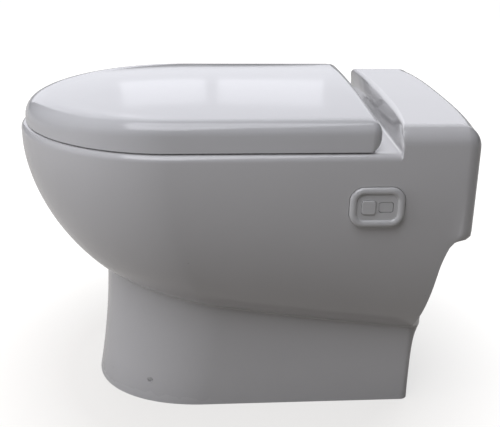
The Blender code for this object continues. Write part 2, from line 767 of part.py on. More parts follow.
def ceramic_blank():
    """The body's outer shape, with the rim in front of the raised deck."""
    bm = bmesh.new()
    rings = lower_rings(0.0, RIM_HEIGHT - SHOULDER_DROP)
    rings += [edge_ring(QUARTER * step / EDGE_STEPS) for step in range(EDGE_STEPS + 1)]
    rows = [[bm.verts.new(point) for point in ring] for ring in rings]
    count = len(BODY_TRAITS)
    right = next(i for i, trait in enumerate(BODY_TRAITS) if trait.deck)
    left = count - right
    top = rows[-1]

    wall = []
    for height, setback, roll in wall_rows():
        share = (height - RIM_HEIGHT) / (DECK_HEIGHT - RIM_HEIGHT)
        if share == 0:
            ends = (top[left + 1], top[right - 1])
        elif height >= DECK_HEIGHT:
            ends = (top[left], top[right])
        else:
            ends = [bm.verts.new(low.co.lerp(high.co, share))
                    for low, high in ((top[left + 1], top[left]), (top[right - 1], top[right]))]
        line = [ends[0]]
        for step in range(1, RIDGE_STEPS):
            turn = math.pi * step / RIDGE_STEPS
            x = -math.cos(turn) * ends[1].co.x
            y = DECK_FOOT_Y + (ridge_line(x) - DECK_FOOT_Y) * setback + roll
            line.append(bm.verts.new((x, y, height)))
        wall.append(line + [ends[1]])

    for low, high in zip(rows, rows[1:]):
        for i in range(count):
            j = (i + 1) % count
            corners = [low[i], low[j], high[j], high[i]]
            if high is top and i == right - 1:
                corners[3:3] = [line[-1] for line in reversed(wall[1:-1])]
            if high is top and i == left:
                corners[3:3] = [line[0] for line in wall[1:-1]]
            bm.faces.new(corners)
    for low, high in zip(wall, wall[1:]):
        for a, b, c, d in zip(low, low[1:], high[1:], high):
            bm.faces.new((a, b, c, d))
    bm.faces.new(list(reversed(rows[0])))
    bm.faces.new(top[left + 1:] + top[:right] + list(reversed(wall[0][1:-1])))
    bm.faces.new(top[right:left + 1] + wall[-1][1:-1])
    bmesh.ops.triangulate(bm, faces=[face for face in bm.faces if len(face.verts) == 8])
    return bm


def oval(half, front, back, height):
    """One ring of the bowl, longer in front of the sump than behind it."""
    ring = []
    for step in range(OVAL_STEPS):
        turn = 2 * math.pi * step / OVAL_STEPS
        across = math.sin(turn)
        along = math.cos(turn)
        reach = front if along > 0 else back
        ring.append((half * math.copysign(abs(across) ** (2 / BOWL_POWER), across),
                     SUMP_BACK - reach * math.copysign(abs(along) ** (2 / BOWL_POWER), along),
                     height))
    return ring


def bowl_rings(grow):
    """Rings of the bowl from its sump up, grown by a wall thickness."""
    half = BOWL_WIDTH / 2 + grow
    front = SUMP_BACK - FRONT_Y - BOWL_TIP + grow
    back = BOWL_REAR - SUMP_BACK + grow
    tables = zip(BOWL_LEVEL_shares, BOWL_WIDTH_shares, BOWL_FRONT_shares, BOWL_BACK_shares)
    rings = [oval(half * across, front * ahead, back * behind,
                  RIM_HEIGHT - (BOWL_DEPTH + grow) * level)
             for level, across, ahead, behind in tables]
    rings.reverse()
    return rings, half, front, back


def bowl_hollow():
    """The inside of the bowl, opening a little at its lip."""
    bm = bmesh.new()
    rings, half, front, back = bowl_rings(0.0)
    lip = RIM_HEIGHT - BOWL_LIP
    rings.append(oval(half, front, back, lip))
    rings.append(oval(half + BOWL_LIP, front + BOWL_LIP, back + BOWL_LIP, RIM_HEIGHT))
    rings.append(oval(half + BOWL_LIP, front + BOWL_LIP, back + BOWL_LIP, RIM_HEIGHT + OVERRUN))
    skin(bm, rings)
    return bm


def machine_bay(body):
    """The hollow under the bowl and deck, open at the floor, cut round the bowl's shell."""
    bm = bmesh.new()
    rings = lower_rings(CLAY, SLAB_UNDER - OVERRUN)
    rings[0] = [(x, y, -OVERRUN) for x, y, z in rings[0]]
    rings.append([(x, y, SLAB_UNDER) for x, y, z in rings[-1]])
    skin(bm, rings)
    bay = combine(body, "bay_cutter", bm)

    bm = bmesh.new()
    rings, half, front, back = bowl_rings(CLAY)
    rings.append(oval(half, front, back, RIM_HEIGHT - SLAB))
    rings.append(oval(half, front, back, RIM_HEIGHT + OVERRUN))
    skin(bm, rings)
    combine(bay, "bowl_shell_guide", bm)

    bm = bmesh.new()
    tube(bm, OUTLET_BORE / 2, HORN_RADIUS, (0, 0, OUTLET_HEIGHT), "Y", SUMP_BACK, OUTLET_REACH)
    combine(bay, "horn_guide", bm)


def deck_hollow(body):
    """The hollow inside the raised deck, joined to the bay below it."""
    bm = bmesh.new()
    low = (-HALF + REAR_CORNER, RIDGE_Y + CLAY, SLAB_UNDER - OVERRUN)
    high = (HALF - REAR_CORNER, REAR_Y - CLAY - OVERRUN, DECK_HEIGHT - SLAB)
    box(bm, low, high)
    combine(body, "deck_cutter", bm)


def foot_side(y):
    """Half width of the foot at the fixing screws' height, at a place along it."""
    ring = lower_rings(0.0, RIM_HEIGHT - SHOULDER_DROP)
    low, high = ring[1], ring[2]
    share = (SCREW_HEIGHT - low[0][2]) / (high[0][2] - low[0][2])
    line = [Vector(a).lerp(Vector(b), share) for a, b in zip(low, high)]
    for first, second in zip(line, line[1:]):
        if first.y <= y <= second.y:
            return first.x + (second.x - first.x) * (y - first.y) / (second.y - first.y)
    return FOOT_WIDTH / 2


def ceramic_body():
    """Bowl, foot and deck, fired as one piece, with its hollows and holes."""
    body = place("ceramic_body", ceramic_blank(), GLAZE)
    machine_bay(body)
    deck_hollow(body)
    combine(body, "bowl_cutter", bowl_hollow())

    bm = bmesh.new()
    cylinder(bm, OUTLET_BORE / 2 - OUTLET_STEP, (0, 0, OUTLET_HEIGHT), "Y", SUMP_BACK,
             OUTLET_REACH - HORN_WALL)
    combine(body, "outlet_cutter", bm)

    bm = bmesh.new()
    middle = (SERVICE_HEIGHT / 2 - SERVICE_CORNER, 0.0)
    points = rounded_rectangle(middle, SERVICE_HEIGHT + 2 * SERVICE_CORNER, SERVICE_WIDTH,
                               SERVICE_CORNER)
    prism(bm, points, "Y", NECK_PLAN.rear - CLAY - OVERRUN - REAR_CORNER, REAR_Y)
    combine(body, "service_cutter", bm)

    for side, sign in SIDES:
        bm = bmesh.new()
        cylinder(bm, STUD_HOLE, (sign * HINGE_SPACING / 2, HINGE_BACK, 0), "Z",
                 SLAB_UNDER - OVERRUN, RIM_HEIGHT + OVERRUN, FINE_STEPS)
        combine(body, f"stud_cutter_{side}", bm)
        bm = bmesh.new()
        floor = foot_side(SCREW_BACK) - SCREW_SINK
        profile = ((0, floor - CLAY - OVERRUN), (SCREW_RADIUS + GAP, floor - CLAY - OVERRUN),
                   (SCREW_RADIUS + GAP, floor), (CAP_RADIUS + GAP, floor),
                   (CAP_RADIUS + GAP, floor + SCREW_SINK + OVERRUN),
                   (0, floor + SCREW_SINK + OVERRUN))
        turned(bm, mirrored_profile(profile, sign), (0, SCREW_BACK, SCREW_HEIGHT), "X",
               FINE_STEPS)
        combine(body, f"screw_cutter_{side}", bm)

    bm = bmesh.new()
    cylinder(bm, NOZZLE_RADIUS + GAP, (0, BOWL_REAR, NOZZLE_HEIGHT), "Y",
             -CLAY - OVERRUN, CLAY + OVERRUN, FINE_STEPS)
    combine(body, "nozzle_cutter", bm)

    bm = bmesh.new()
    middle = (PANEL_BACK, PANEL_HEIGHT)
    points = rounded_rectangle(middle, PANEL_WIDTH + 2 * POCKET_SPARE,
                               PANEL_TALL + 2 * POCKET_SPARE, PANEL_CORNER + POCKET_SPARE)
    prism(bm, points, "X", PANEL_FLOOR, HALF + OVERRUN)
    combine(body, "pocket_cutter", bm)
    bm = bmesh.new()
    width, tall = spigot_size()
    points = rounded_rectangle(middle, width + 2 * GAP, tall + 2 * GAP, PAD_CORNER)
    prism(bm, points, "X", PANEL_FLOOR - CLAY - OVERRUN, PANEL_FLOOR + OVERRUN)
    combine(body, "spigot_cutter", bm)
    return body


def mirrored_profile(profile, sign):
    """A turned profile for the other side: distances change sign and the order turns back."""
    if sign > 0:
        return profile
    return tuple((radius, -distance) for radius, distance in reversed(profile))


def lid_crown(x, y):
    """How far the lid's crown stands over its shoulder, at a place seen from above."""
    across = (x / (LID_PLAN.half - LID_ROUND)) ** 2
    if y < LID_CENTRE:
        tip_round = LID_ROUND * (1 + LID_TIP_MORE_share)
        along = ((LID_CENTRE - y) / (LID_CENTRE - LID_PLAN.tip - tip_round)) ** 2
        return LID_CROWN * max(0.0, 1 - across - along)
    along = ((y - LID_CENTRE) / (LID_REAR - LID_CENTRE)) ** 2
    return LID_CROWN * max(0.0, 1 - across) * (1 - (1 - LID_REAR_ARCH_share) * along)


def shell_rings(inset, shift):
    """Rings of one face of the lid, from its lower edge to the last ring of its crown."""
    rings = []
    for step in range(EDGE_STEPS, -1, -1):
        turn = QUARTER * step / EDGE_STEPS
        ring = []
        for (x, y), trait in zip(outline(LID_PLAN, inset), SHELL_TRAITS):
            drop = LID_TIP_SEAM * trait.front ** 2
            radius = LID_REAR_ROUND - inset * trait.rear - drop
            tuck = (LID_REAR_ROUND - inset) * (1 - math.cos(turn)) * trait.rear
            ring.append((x, y - tuck, HINGE_Z - drop - radius * math.sin(turn)))
        rings.append(ring)
    for step in range(EDGE_STEPS + 1):
        turn = QUARTER * step / EDGE_STEPS
        insets = []
        for trait in SHELL_TRAITS:
            reach = LID_ROUND * (1 + LID_TIP_MORE_share * trait.front ** 2) - inset
            insets.append(inset + reach * (1 - math.cos(turn)))
        ring = []
        for (x, y), trait in zip(inset_ring(LID_PLAN, insets), SHELL_TRAITS):
            tall = LID_ROUND * (1 + LID_TIP_TALL_share * trait.front ** 2)
            ring.append((x, y, LID_TOP - tall + (tall - inset + lid_crown(x, y)) * math.sin(turn)))
        rings.append(ring)
    last = rings[-1]
    for share in CROWN_shares:
        ring = [(x * share, LID_CENTRE + (y - LID_CENTRE) * share) for x, y, z in last]
        rings.append([(x, y, LID_TOP - shift + lid_crown(x, y)) for x, y in ring])
    return rings


def lid_shell():
    """The wrap-over lid, a shell with hinge lugs and a notch round each hinge."""
    bm = bmesh.new()
    faces = []
    for inset in (0.0, LID_WALL):
        rows = skin(bm, shell_rings(inset, inset), close=False)
        pole = bm.verts.new((0, LID_CENTRE, LID_TOP - inset + LID_CROWN))
        for i in range(len(rows[-1])):
            bm.faces.new((rows[-1][i], rows[-1][(i + 1) % len(rows[-1])], pole))
        faces.append(rows[0])
    outer, inner = faces
    for i in range(len(outer)):
        j = (i + 1) % len(outer)
        bm.faces.new((outer[j], outer[i], inner[i], inner[j]))
    bmesh.ops.triangulate(bm, faces=bm.faces)
    lid = place("lid_shell", bm, SEAT_PLASTIC, (0, HINGE_BACK, HINGE_Z))
    for side, sign in SIDES:
        bm = bmesh.new()
        seat_lug = POST_WIDTH / 2 + KNUCKLE_GAP + SEAT_LUG_WIDTH + NOTCH_SPARE
        near = HINGE_SPACING / 2 - seat_lug
        far = HINGE_SPACING / 2 + POST_WIDTH / 2 + KNUCKLE_GAP + NOTCH_SPARE
        across = sorted((sign * near, sign * far))
        low = (across[0], HINGE_BACK - LID_REAR_ROUND, LID_BOTTOM - OVERRUN)
        high = (across[1], LID_REAR + OVERRUN, HINGE_Z + NOTCH_RISE)
        box(bm, low, high)
        combine(lid, f"notch_cutter_{side}", bm)
    for side, sign in SIDES:
        bm = bmesh.new()
        start = HINGE_SPACING / 2 + POST_WIDTH / 2 + KNUCKLE_GAP
        across = sorted((sign * start, sign * (start + LID_LUG_WIDTH)))
        front = HINGE_BACK - LID_LUG_RADIUS
        rear = HINGE_BACK + LID_LUG_RADIUS
        points = [(front, LID_TOP - LID_WALL / 2)]
        for step in range(FINE_STEPS // 2 + 1):
            turn = math.pi + math.pi * step / (FINE_STEPS // 2)
            points.append((HINGE_BACK + LID_LUG_RADIUS * math.cos(turn),
                           HINGE_Z + LID_LUG_RADIUS * math.sin(turn)))
        points.append((rear, shell_middle(LID_REAR - rear)))
        prism(bm, points, "X", *across)
        combine(lid, f"lid_lug_{side}", bm, "UNION")
    for side, sign in SIDES:
        bm = bmesh.new()
        start = HINGE_SPACING / 2 + POST_WIDTH / 2 - OVERRUN
        across = sorted((sign * start, sign * (start + LID_LUG_WIDTH + 3 * OVERRUN)))
        cylinder(bm, PIN_RADIUS + GAP, (0, HINGE_BACK, HINGE_Z), "X", *across, FINE_STEPS)
        combine(lid, f"lid_bore_{side}", bm)
    return lid


def shell_middle(inward):
    """Height of the middle of the lid's wall, at a distance in from its rear face."""
    radius = LID_ROUND - LID_WALL / 2
    cosine = 1 - (inward - LID_WALL / 2) / radius
    return LID_TOP - LID_ROUND + radius * math.sqrt(max(0.0, 1 - cosine * cosine))


def seat_ring():
    """The seat, a crowned ring with a lug at each hinge."""
    bm = bmesh.new()
    outer = outline(SEAT_PLAN)
    hole = outline(HOLE_PLAN)
    rows = []
    for across, up in zip(SEAT_ACROSS_shares, SEAT_UP_shares):
        rows.append([bm.verts.new((ox + (hx - ox) * across, oy + (hy - oy) * across,
                                   SEAT_BOTTOM + SEAT_THICK * up))
                     for (ox, oy), (hx, hy) in zip(outer, hole)])
    for low, high in zip(rows, rows[1:] + rows[:1]):
        for i in range(len(low)):
            j = (i + 1) % len(low)
            bm.faces.new((low[i], low[j], high[j], high[i]))
    seat = place("seat_ring", bm, SEAT_PLASTIC, (0, HINGE_BACK, HINGE_Z))
    for side, sign in SIDES:
        bm = bmesh.new()
        end = HINGE_SPACING / 2 - POST_WIDTH / 2 - KNUCKLE_GAP
        across = sorted((sign * end, sign * (end - SEAT_LUG_WIDTH)))
        front = SEAT_REAR - SEAT_CORNER / 2
        points = []
        for step in range(FINE_STEPS // 2 + 1):
            turn = -QUARTER + math.pi * step / (FINE_STEPS // 2)
            points.append((HINGE_BACK + SEAT_LUG_RADIUS * math.cos(turn),
                           HINGE_Z + SEAT_LUG_RADIUS * math.sin(turn)))
        points.append((front, SEAT_BOTTOM + SEAT_THICK * 0.7))
        points.append((front, SEAT_BOTTOM + SEAT_THICK * 0.3))
        prism(bm, points, "X", *across)
        combine(seat, f"seat_lug_{side}", bm, "UNION")
    for side, sign in SIDES:
        bm = bmesh.new()
        end = HINGE_SPACING / 2 - POST_WIDTH / 2
        across = sorted((sign * end, sign * (end - SEAT_LUG_WIDTH - 2 * OVERRUN)))
        cylinder(bm, PIN_RADIUS + GAP, (0, HINGE_BACK, HINGE_Z), "X", *across, FINE_STEPS)
        combine(seat, f"seat_bore_{side}", bm)
    return seat


def ring_place(column):
    """A place on the seat's crest, at a column of its outline."""
    (ox, oy), (hx, hy) = outline(SEAT_PLAN)[column], outline(HOLE_PLAN)[column]
    return (ox + (hx - ox) * BUFFER_ACROSS_share, oy + (hy - oy) * BUFFER_ACROSS_share)


def crown_height(x, y, radius):
    """Height of the lid's inner face over a small round place, at its lowest."""
    away = math.hypot(x, y - LID_CENTRE)
    stretch = (away + radius) / away
    outermost = lid_crown(x * stretch, LID_CENTRE + (y - LID_CENTRE) * stretch)
    return LID_TOP - LID_WALL + outermost - BUFFER_SPARE


def buffers():
    """Rubber buffers under the seat and under the lid."""
    count = len(outline(SEAT_PLAN))
    for end, column in (("front", NOSE_STEPS // 3), ("rear", NOSE_STEPS + len(EVEN_BREAKS) - 2)):
        for side, sign in SIDES:
            x, y = ring_place(column if sign > 0 else count - column)
            bm = bmesh.new()
            cylinder(bm, BUFFER_RADIUS, (x, y, 0), "Z", RIM_HEIGHT + GAP, SEAT_BOTTOM - GAP,
                     FINE_STEPS)
            place(f"seat_buffer_{end}_{side}", bm, BUFFER_RUBBER, (0, HINGE_BACK, HINGE_Z))
    for side, sign in SIDES:
        column = 2 * NOSE_STEPS // 3
        x, y = ring_place(column if sign > 0 else count - column)
        bm = bmesh.new()
        cylinder(bm, LID_BUFFER_RADIUS, (x, y, 0), "Z", SEAT_TOP + GAP,
                 crown_height(x, y, LID_BUFFER_RADIUS), FINE_STEPS)
        place(f"lid_buffer_{side}", bm, BUFFER_RUBBER, (0, HINGE_BACK, HINGE_Z))


def hinge(side, sign):
    """One hinge: post, pin, stud, washer and wing nut."""
    middle = sign * HINGE_SPACING / 2
    low = RIM_HEIGHT + GAP
    points = [(HINGE_BACK - POST_PLATE_FRONT, low), (HINGE_BACK + POST_PLATE_REAR, low),
              (HINGE_BACK + POST_PLATE_REAR, low + POST_PLATE),
              (HINGE_BACK + POST_DEPTH / 2, low + POST_PLATE)]
    for step in range(FINE_STEPS // 2 + 1):
        turn = math.pi * step / (FINE_STEPS // 2)
        points.append((HINGE_BACK + POST_DEPTH / 2 * math.cos(turn),
                       HINGE_Z + POST_DEPTH / 2 * math.sin(turn)))
    points += [(HINGE_BACK - POST_DEPTH / 2, low + POST_PLATE),
               (HINGE_BACK - POST_PLATE_FRONT, low + POST_PLATE)]
    bm = bmesh.new()
    prism(bm, points, "X", middle - POST_WIDTH / 2, middle + POST_WIDTH / 2)
    post = place(f"hinge_post_{side}", bm, STEEL)
    bm = bmesh.new()
    cylinder(bm, PIN_RADIUS + GAP, (middle, HINGE_BACK, HINGE_Z), "X", -POST_WIDTH, POST_WIDTH,
             FINE_STEPS)
    combine(post, f"post_bore_{side}", bm)
    bm = bmesh.new()
    cylinder(bm, STUD_RADIUS + GAP, (middle, HINGE_BACK, 0), "Z", low - OVERRUN,
             low + STUD_DEPTH, FINE_STEPS)
    combine(post, f"stud_bore_{side}", bm)

    bm = bmesh.new()
    start = HINGE_SPACING / 2 - POST_WIDTH / 2 - KNUCKLE_GAP - SEAT_LUG_WIDTH
    end = HINGE_SPACING / 2 + POST_WIDTH / 2 + KNUCKLE_GAP + LID_LUG_WIDTH
    cylinder(bm, PIN_RADIUS, (0, HINGE_BACK, HINGE_Z), "X", *sorted((sign * start, sign * end)),
             FINE_STEPS)
    place(f"hinge_pin_{side}", bm, STEEL)

    top = low + STUD_DEPTH - GAP
    bm = bmesh.new()
    cylinder(bm, STUD_RADIUS, (middle, HINGE_BACK, 0), "Z", top - STUD_LENGTH, top, FINE_STEPS)
    place(f"hinge_stud_{side}", bm, ZINC)
    washer_top = SLAB_UNDER - GAP
    bm = bmesh.new()
    tube(bm, STUD_RADIUS + GAP, WASHER_RADIUS, (middle, HINGE_BACK, 0), "Z",
         washer_top - WASHER_THICK, washer_top, FINE_STEPS)
    place(f"hinge_washer_{side}", bm, DARK_RUBBER)

    nut_top = washer_top - WASHER_THICK - GAP
    bm = bmesh.new()
    tube(bm, STUD_RADIUS + GAP, NUT_RADIUS, (middle, HINGE_BACK, 0), "Z", nut_top - NUT_HEIGHT,
         nut_top, FINE_STEPS)
    nut = place(f"hinge_wing_nut_{side}", bm, WHITE_PLASTIC)
    for wing, out in (("front", -1), ("rear", 1)):
        bm = bmesh.new()
        reach = sorted((out * (STUD_RADIUS + NUT_RADIUS) / 2, out * WING_REACH))
        box(bm, (middle - WING_THICK / 2, HINGE_BACK + reach[0], nut_top - WING_HEIGHT),
            (middle + WING_THICK / 2, HINGE_BACK + reach[1], nut_top - WING_THICK))
        combine(nut, f"wing_{wing}_{side}", bm, "UNION")


def spigot_size():
    """Width and height of the frame's square spigot, which holds both pads' stems."""
    width = PAD_SIZE + PAD_SPLIT + HALF_PAD_WIDTH + 2 * (GAP + SPIGOT_WALL)
    return width, PAD_SIZE + 2 * (GAP + SPIGOT_WALL)


def pad_places():
    """The two flush pads' names, middles, widths, heights and how proud each one is."""
    full = PANEL_BACK - (HALF_PAD_WIDTH + PAD_SPLIT) / 2
    half = PANEL_BACK + (PAD_SIZE + PAD_SPLIT) / 2
    return (("full", full, PAD_SIZE, PAD_SIZE, FULL_PROUD),
            ("half", half, HALF_PAD_WIDTH, HALF_PAD_TALL, HALF_PROUD))


def flush_frame():
    """The raised frame round the pads, with its spigot through the body's wall."""
    middle = (PANEL_BACK, PANEL_HEIGHT)
    bm = bmesh.new()
    rings = []
    for step in range(EDGE_STEPS + 1):
        turn = QUARTER * step / EDGE_STEPS
        inset = PANEL_ROLL * (1 - math.cos(turn))
        points = rounded_rectangle(middle, PANEL_WIDTH - 2 * inset, PANEL_TALL - 2 * inset,
                                   PANEL_CORNER - inset)
        x = PANEL_FACE - PANEL_ROLL * (1 - math.sin(turn))
        rings.append([(x, y, z) for y, z in points])
    rings.insert(0, [(PANEL_BACK_FACE, y, z) for x, y, z in rings[0]])
    skin(bm, rings)
    frame = place("flush_frame", bm, PAD_PLASTIC)
    bm = bmesh.new()
    points = rounded_rectangle(middle, PANEL_WIDTH - 2 * PANEL_BORDER,
                               PANEL_TALL - 2 * PANEL_BORDER, PANEL_CORNER - PANEL_BORDER)
    prism(bm, points, "X", PANEL_FACE - PANEL_RECESS, PANEL_FACE + OVERRUN)
    combine(frame, "recess_cutter", bm)
    width, tall = spigot_size()
    bm = bmesh.new()
    prism(bm, rounded_rectangle(middle, width, tall, PAD_CORNER), "X", SPIGOT_END,
          PANEL_BACK_FACE + PANEL_ROLL)
    combine(frame, "frame_spigot", bm, "UNION")
    for name, back, wide, tall, _ in pad_places():
        bm = bmesh.new()
        points = rounded_rectangle((back, PANEL_HEIGHT), wide + 2 * GAP, tall + 2 * GAP,
                                   PAD_CORNER)
        prism(bm, points, "X", SPIGOT_END - OVERRUN, PANEL_FACE + OVERRUN)
        combine(frame, f"{name}_pad_cutter", bm)
    return frame


def flush_pads():
    """The two push pads and their stems."""
    roll = FULL_PROUD / 2
    for name, back, wide, tall, proud in pad_places():
        face = PANEL_FACE - PANEL_RECESS + proud
        middle = (back, PANEL_HEIGHT)
        bm = bmesh.new()
        rings = []
        for x, inset in ((face - PAD_THICK, 0.0), (face - roll, 0.0), (face, roll)):
            points = rounded_rectangle(middle, wide - 2 * inset, tall - 2 * inset,
                                       PAD_CORNER - inset)
            rings.append([(x, y, z) for y, z in points])
        skin(bm, rings)
        pad = place(f"{name}_flush_pad", bm, PAD_PLASTIC, (face, back, PANEL_HEIGHT))
        bm = bmesh.new()
        half = STEM_SIZE / 2
        box(bm, (SPIGOT_END, back - half, PANEL_HEIGHT - half),
            (face - PAD_THICK / 2, back + half, PANEL_HEIGHT + half))
        combine(pad, f"{name}_stem", bm, "UNION")


def flush_inside():
    """What sits behind the flush frame: lock frame, switch housing, two switches."""
    middle = (PANEL_BACK, PANEL_HEIGHT)
    width, tall = spigot_size()
    bm = bmesh.new()
    front = PANEL_FLOOR - LOCK_BACK
    prism(bm, rounded_rectangle(middle, width + 2 * LOCK_BORDER, tall + 2 * LOCK_BORDER,
                                PAD_CORNER + LOCK_BORDER), "X", front - LOCK_WIDTH, front)
    lock = place("flush_lock_frame", bm, GREY_PLASTIC)
    bm = bmesh.new()
    prism(bm, rounded_rectangle(middle, width + 2 * GAP, tall + 2 * GAP, PAD_CORNER), "X",
          front - LOCK_WIDTH - OVERRUN, front + OVERRUN)
    combine(lock, "lock_bore", bm)

    bm = bmesh.new()
    box_front = SPIGOT_END - GAP
    low = (box_front - SWITCH_BOX_DEPTH, PANEL_BACK - width / 2, PANEL_HEIGHT - tall / 2)
    high = (box_front, PANEL_BACK + width / 2, PANEL_HEIGHT + tall / 2)
    open_box(bm, low, high, SWITCH_BOX_WALL, SWITCH_BOX_WALL, 0, 1)
    place("switch_housing", bm, GREY_PLASTIC)
    switch_low = low[0] + SWITCH_BOX_WALL + GAP
    for name, back, *_ in pad_places():
        bm = bmesh.new()
        deep, wide, high_size = SWITCH_SIZE
        box(bm, (switch_low, back - wide / 2, PANEL_HEIGHT - high_size / 2),
            (switch_low + deep, back + wide / 2, PANEL_HEIGHT + high_size / 2))
        switch = place(f"{name}_flush_switch", bm, BLACK_PLASTIC)
        bm = bmesh.new()
        tip = SPIGOT_END - PAD_TRAVEL - 2 * GAP
        box(bm, (switch_low + deep / 2, back - wide / 6, PANEL_HEIGHT - wide / 6),
            (tip, back + wide / 6, PANEL_HEIGHT + wide / 6))
        combine(switch, f"{name}_switch_tip", bm, "UNION")
    return low


def switch_cable(low):
    """The held cable from the switch housing down to the control box."""
    start = (low[0] + SWITCH_BOX_DEPTH / 2, PANEL_BACK, low[2] - GAP)
    end = (BOX_ACROSS, BOX_FRONT + BOX_SIZE[1] / 2, PUMP_FLOOR + BOX_SIZE[2] + BOX_LID + 2 * GAP)
    drop = start[2] - end[2]
    lean = start[0] - end[0]
    down_shares = (0.07, 0.22, 0.40, 0.60, 0.78, 0.92)
    in_shares = (0.01, 0.10, 0.30, 0.58, 0.84, 0.99)
    route = [start]
    for down, inward in zip(down_shares, in_shares):
        route.append((start[0] - lean * inward, start[1] + (end[1] - start[1]) * inward,
                      start[2] - drop * down))
    hose("switch_cable", route + [end], CABLE_RADIUS, BLACK_PLASTIC)


def floor_rails():
    """Two floor rails, the side screws that hold the body to them, and their caps."""
    for side, sign in SIDES:
        inner = RAIL_OUTER - RAIL_FOOT
        points = [(0.0, inner), (0.0, RAIL_OUTER), (RAIL_TALL, RAIL_OUTER),
                  (RAIL_TALL, RAIL_OUTER - RAIL_THICK), (RAIL_THICK, RAIL_OUTER - RAIL_THICK),
                  (RAIL_THICK, inner)]
        bm = bmesh.new()
        prism(bm, [(up, sign * out) for up, out in points], "Y", RAIL_FRONT, RAIL_REAR)
        rail = place(f"floor_rail_{side}", bm, ZINC, smooth=False)
        bm = bmesh.new()
        cylinder(bm, SCREW_RADIUS + GAP, (0, SCREW_BACK, SCREW_HEIGHT), "X",
                 *sorted((sign * (RAIL_OUTER - 2 * RAIL_THICK), sign * (RAIL_OUTER + RAIL_THICK))),
                 FINE_STEPS)
        combine(rail, f"rail_bore_{side}", bm)
        bm = bmesh.new()
        cylinder(bm, ANCHOR_HOLE, (sign * (inner + RAIL_FOOT / 2), RAIL_FRONT + ANCHOR_BACK, 0),
                 "Z", -OVERRUN, RAIL_THICK + OVERRUN, FINE_STEPS)
        combine(rail, f"anchor_bore_{side}", bm)

        floor = foot_side(SCREW_BACK) - SCREW_SINK
        head = floor + GAP
        profile = ((0, RAIL_OUTER - SCREW_TAIL), (SCREW_RADIUS, RAIL_OUTER - SCREW_TAIL),
                   (SCREW_RADIUS, head), (SCREW_HEAD, head),
                   (SCREW_HEAD, head + SCREW_HEAD_THICK), (0, head + SCREW_HEAD_THICK))
        bm = bmesh.new()
        turned(bm, mirrored_profile(profile, sign), (0, SCREW_BACK, SCREW_HEIGHT), "X",
               FINE_STEPS)
        place(f"side_screw_{side}", bm, ZINC)
        base = head + SCREW_HEAD_THICK + GAP
        profile = ((0, base), (CAP_RADIUS, base), (CAP_RADIUS, base + CAP_THICK / 2),
                   (CAP_RADIUS * 0.7, base + CAP_THICK), (0, base + CAP_THICK))
        bm = bmesh.new()
        turned(bm, mirrored_profile(profile, sign), (0, SCREW_BACK, SCREW_HEIGHT), "X",
               FINE_STEPS)
        place(f"screw_cap_{side}", bm, PAD_PLASTIC)


def chassis_plate():
    """The plate across both rails that carries the pump, the valve and the electrics."""
    half = RAIL_OUTER - RAIL_THICK - GAP
    bm = bmesh.new()
    box(bm, (-half, CHASSIS_FRONT, CHASSIS_LOW), (half, RAIL_REAR, CHASSIS_TOP))
    place("chassis_plate", bm, ZINC, smooth=False)


def drain_sleeve():
    """The rubber sleeve between the bowl's horn and the pump's collar, and its clamp."""
    start = PUMP_FRONT - GAP - SLEEVE_LENGTH
    bm = bmesh.new()
    inner = HORN_RADIUS + GAP
    tube(bm, inner, inner + SLEEVE_THICK, (0, 0, OUTLET_HEIGHT), "Y", start,
         start + SLEEVE_LENGTH)
    place("outlet_sleeve", bm, DARK_RUBBER)
    bm = bmesh.new()
    middle = (OUTLET_REACH + HORN_GAP + PUMP_FRONT) / 2
    band = inner + SLEEVE_THICK + GAP
    tube(bm, band, band + CLAMP_THICK, (0, middle, OUTLET_HEIGHT), "Y", -CLAMP_WIDTH / 2,
         CLAMP_WIDTH / 2)
    place("sleeve_clamp", bm, STEEL)


def macerator_housing():
    """The pump's housing, with the collar that takes the sleeve and the discharge spigot."""
    bm = bmesh.new()
    open_box(bm, (-PUMP_WIDTH / 2, PUMP_FRONT, PUMP_FLOOR), (PUMP_WIDTH / 2, PUMP_REAR, PUMP_TOP),
             PUMP_WALL, PUMP_WALL, 2, 1)
    housing = place("macerator_housing", bm, GREY_PLASTIC, smooth=False)
    collars = (
        (OUTLET_BORE / 2 - PUMP_WALL, HORN_RADIUS, OUTLET_HEIGHT, OUTLET_REACH + HORN_GAP,
         PUMP_FRONT + PUMP_WALL / 2),
        (DISCHARGE_BORE / 2, DISCHARGE_BORE / 2 + DISCHARGE_WALL, DISCHARGE_HEIGHT,
         PUMP_REAR - PUMP_WALL / 2, PUMP_REAR + SOCKET_DEPTH),
    )
    solid = bmesh.new()
    bores = bmesh.new()
    for inner, outer, height, start, end in collars:
        cylinder(solid, outer, (0, 0, height), "Y", start, end)
        middle = (start + end) / 2
        half = (end - start) / 2 + PUMP_WALL
        cylinder(bores, inner, (0, middle, height), "Y", -half, half)
    combine(housing, "pump_collars", solid, "UNION")
    combine(housing, "pump_bores", bores)


def macerator_cover():
    """The housing's cover and the seal round the shaft."""
    bm = bmesh.new()
    box(bm, (-PUMP_WIDTH / 2, PUMP_FRONT, COVER_LOW), (PUMP_WIDTH / 2, PUMP_REAR, COVER_TOP))
    cover = place("macerator_cover", bm, GREY_PLASTIC, smooth=False)
    bm = bmesh.new()
    cylinder(bm, SEAL_RADIUS, (0, PUMP_BACK, 0), "Z", COVER_LOW - OVERRUN, COVER_TOP + OVERRUN)
    combine(cover, "seal_bore", bm)
    bm = bmesh.new()
    tube(bm, SHAFT_RADIUS + GAP, SEAL_RADIUS - GAP, (0, PUMP_BACK, 0), "Z", COVER_LOW, COVER_TOP)
    place("shaft_seal", bm, DARK_RUBBER)


def basket_floor():
    return PUMP_TOP - BASKET_TALL


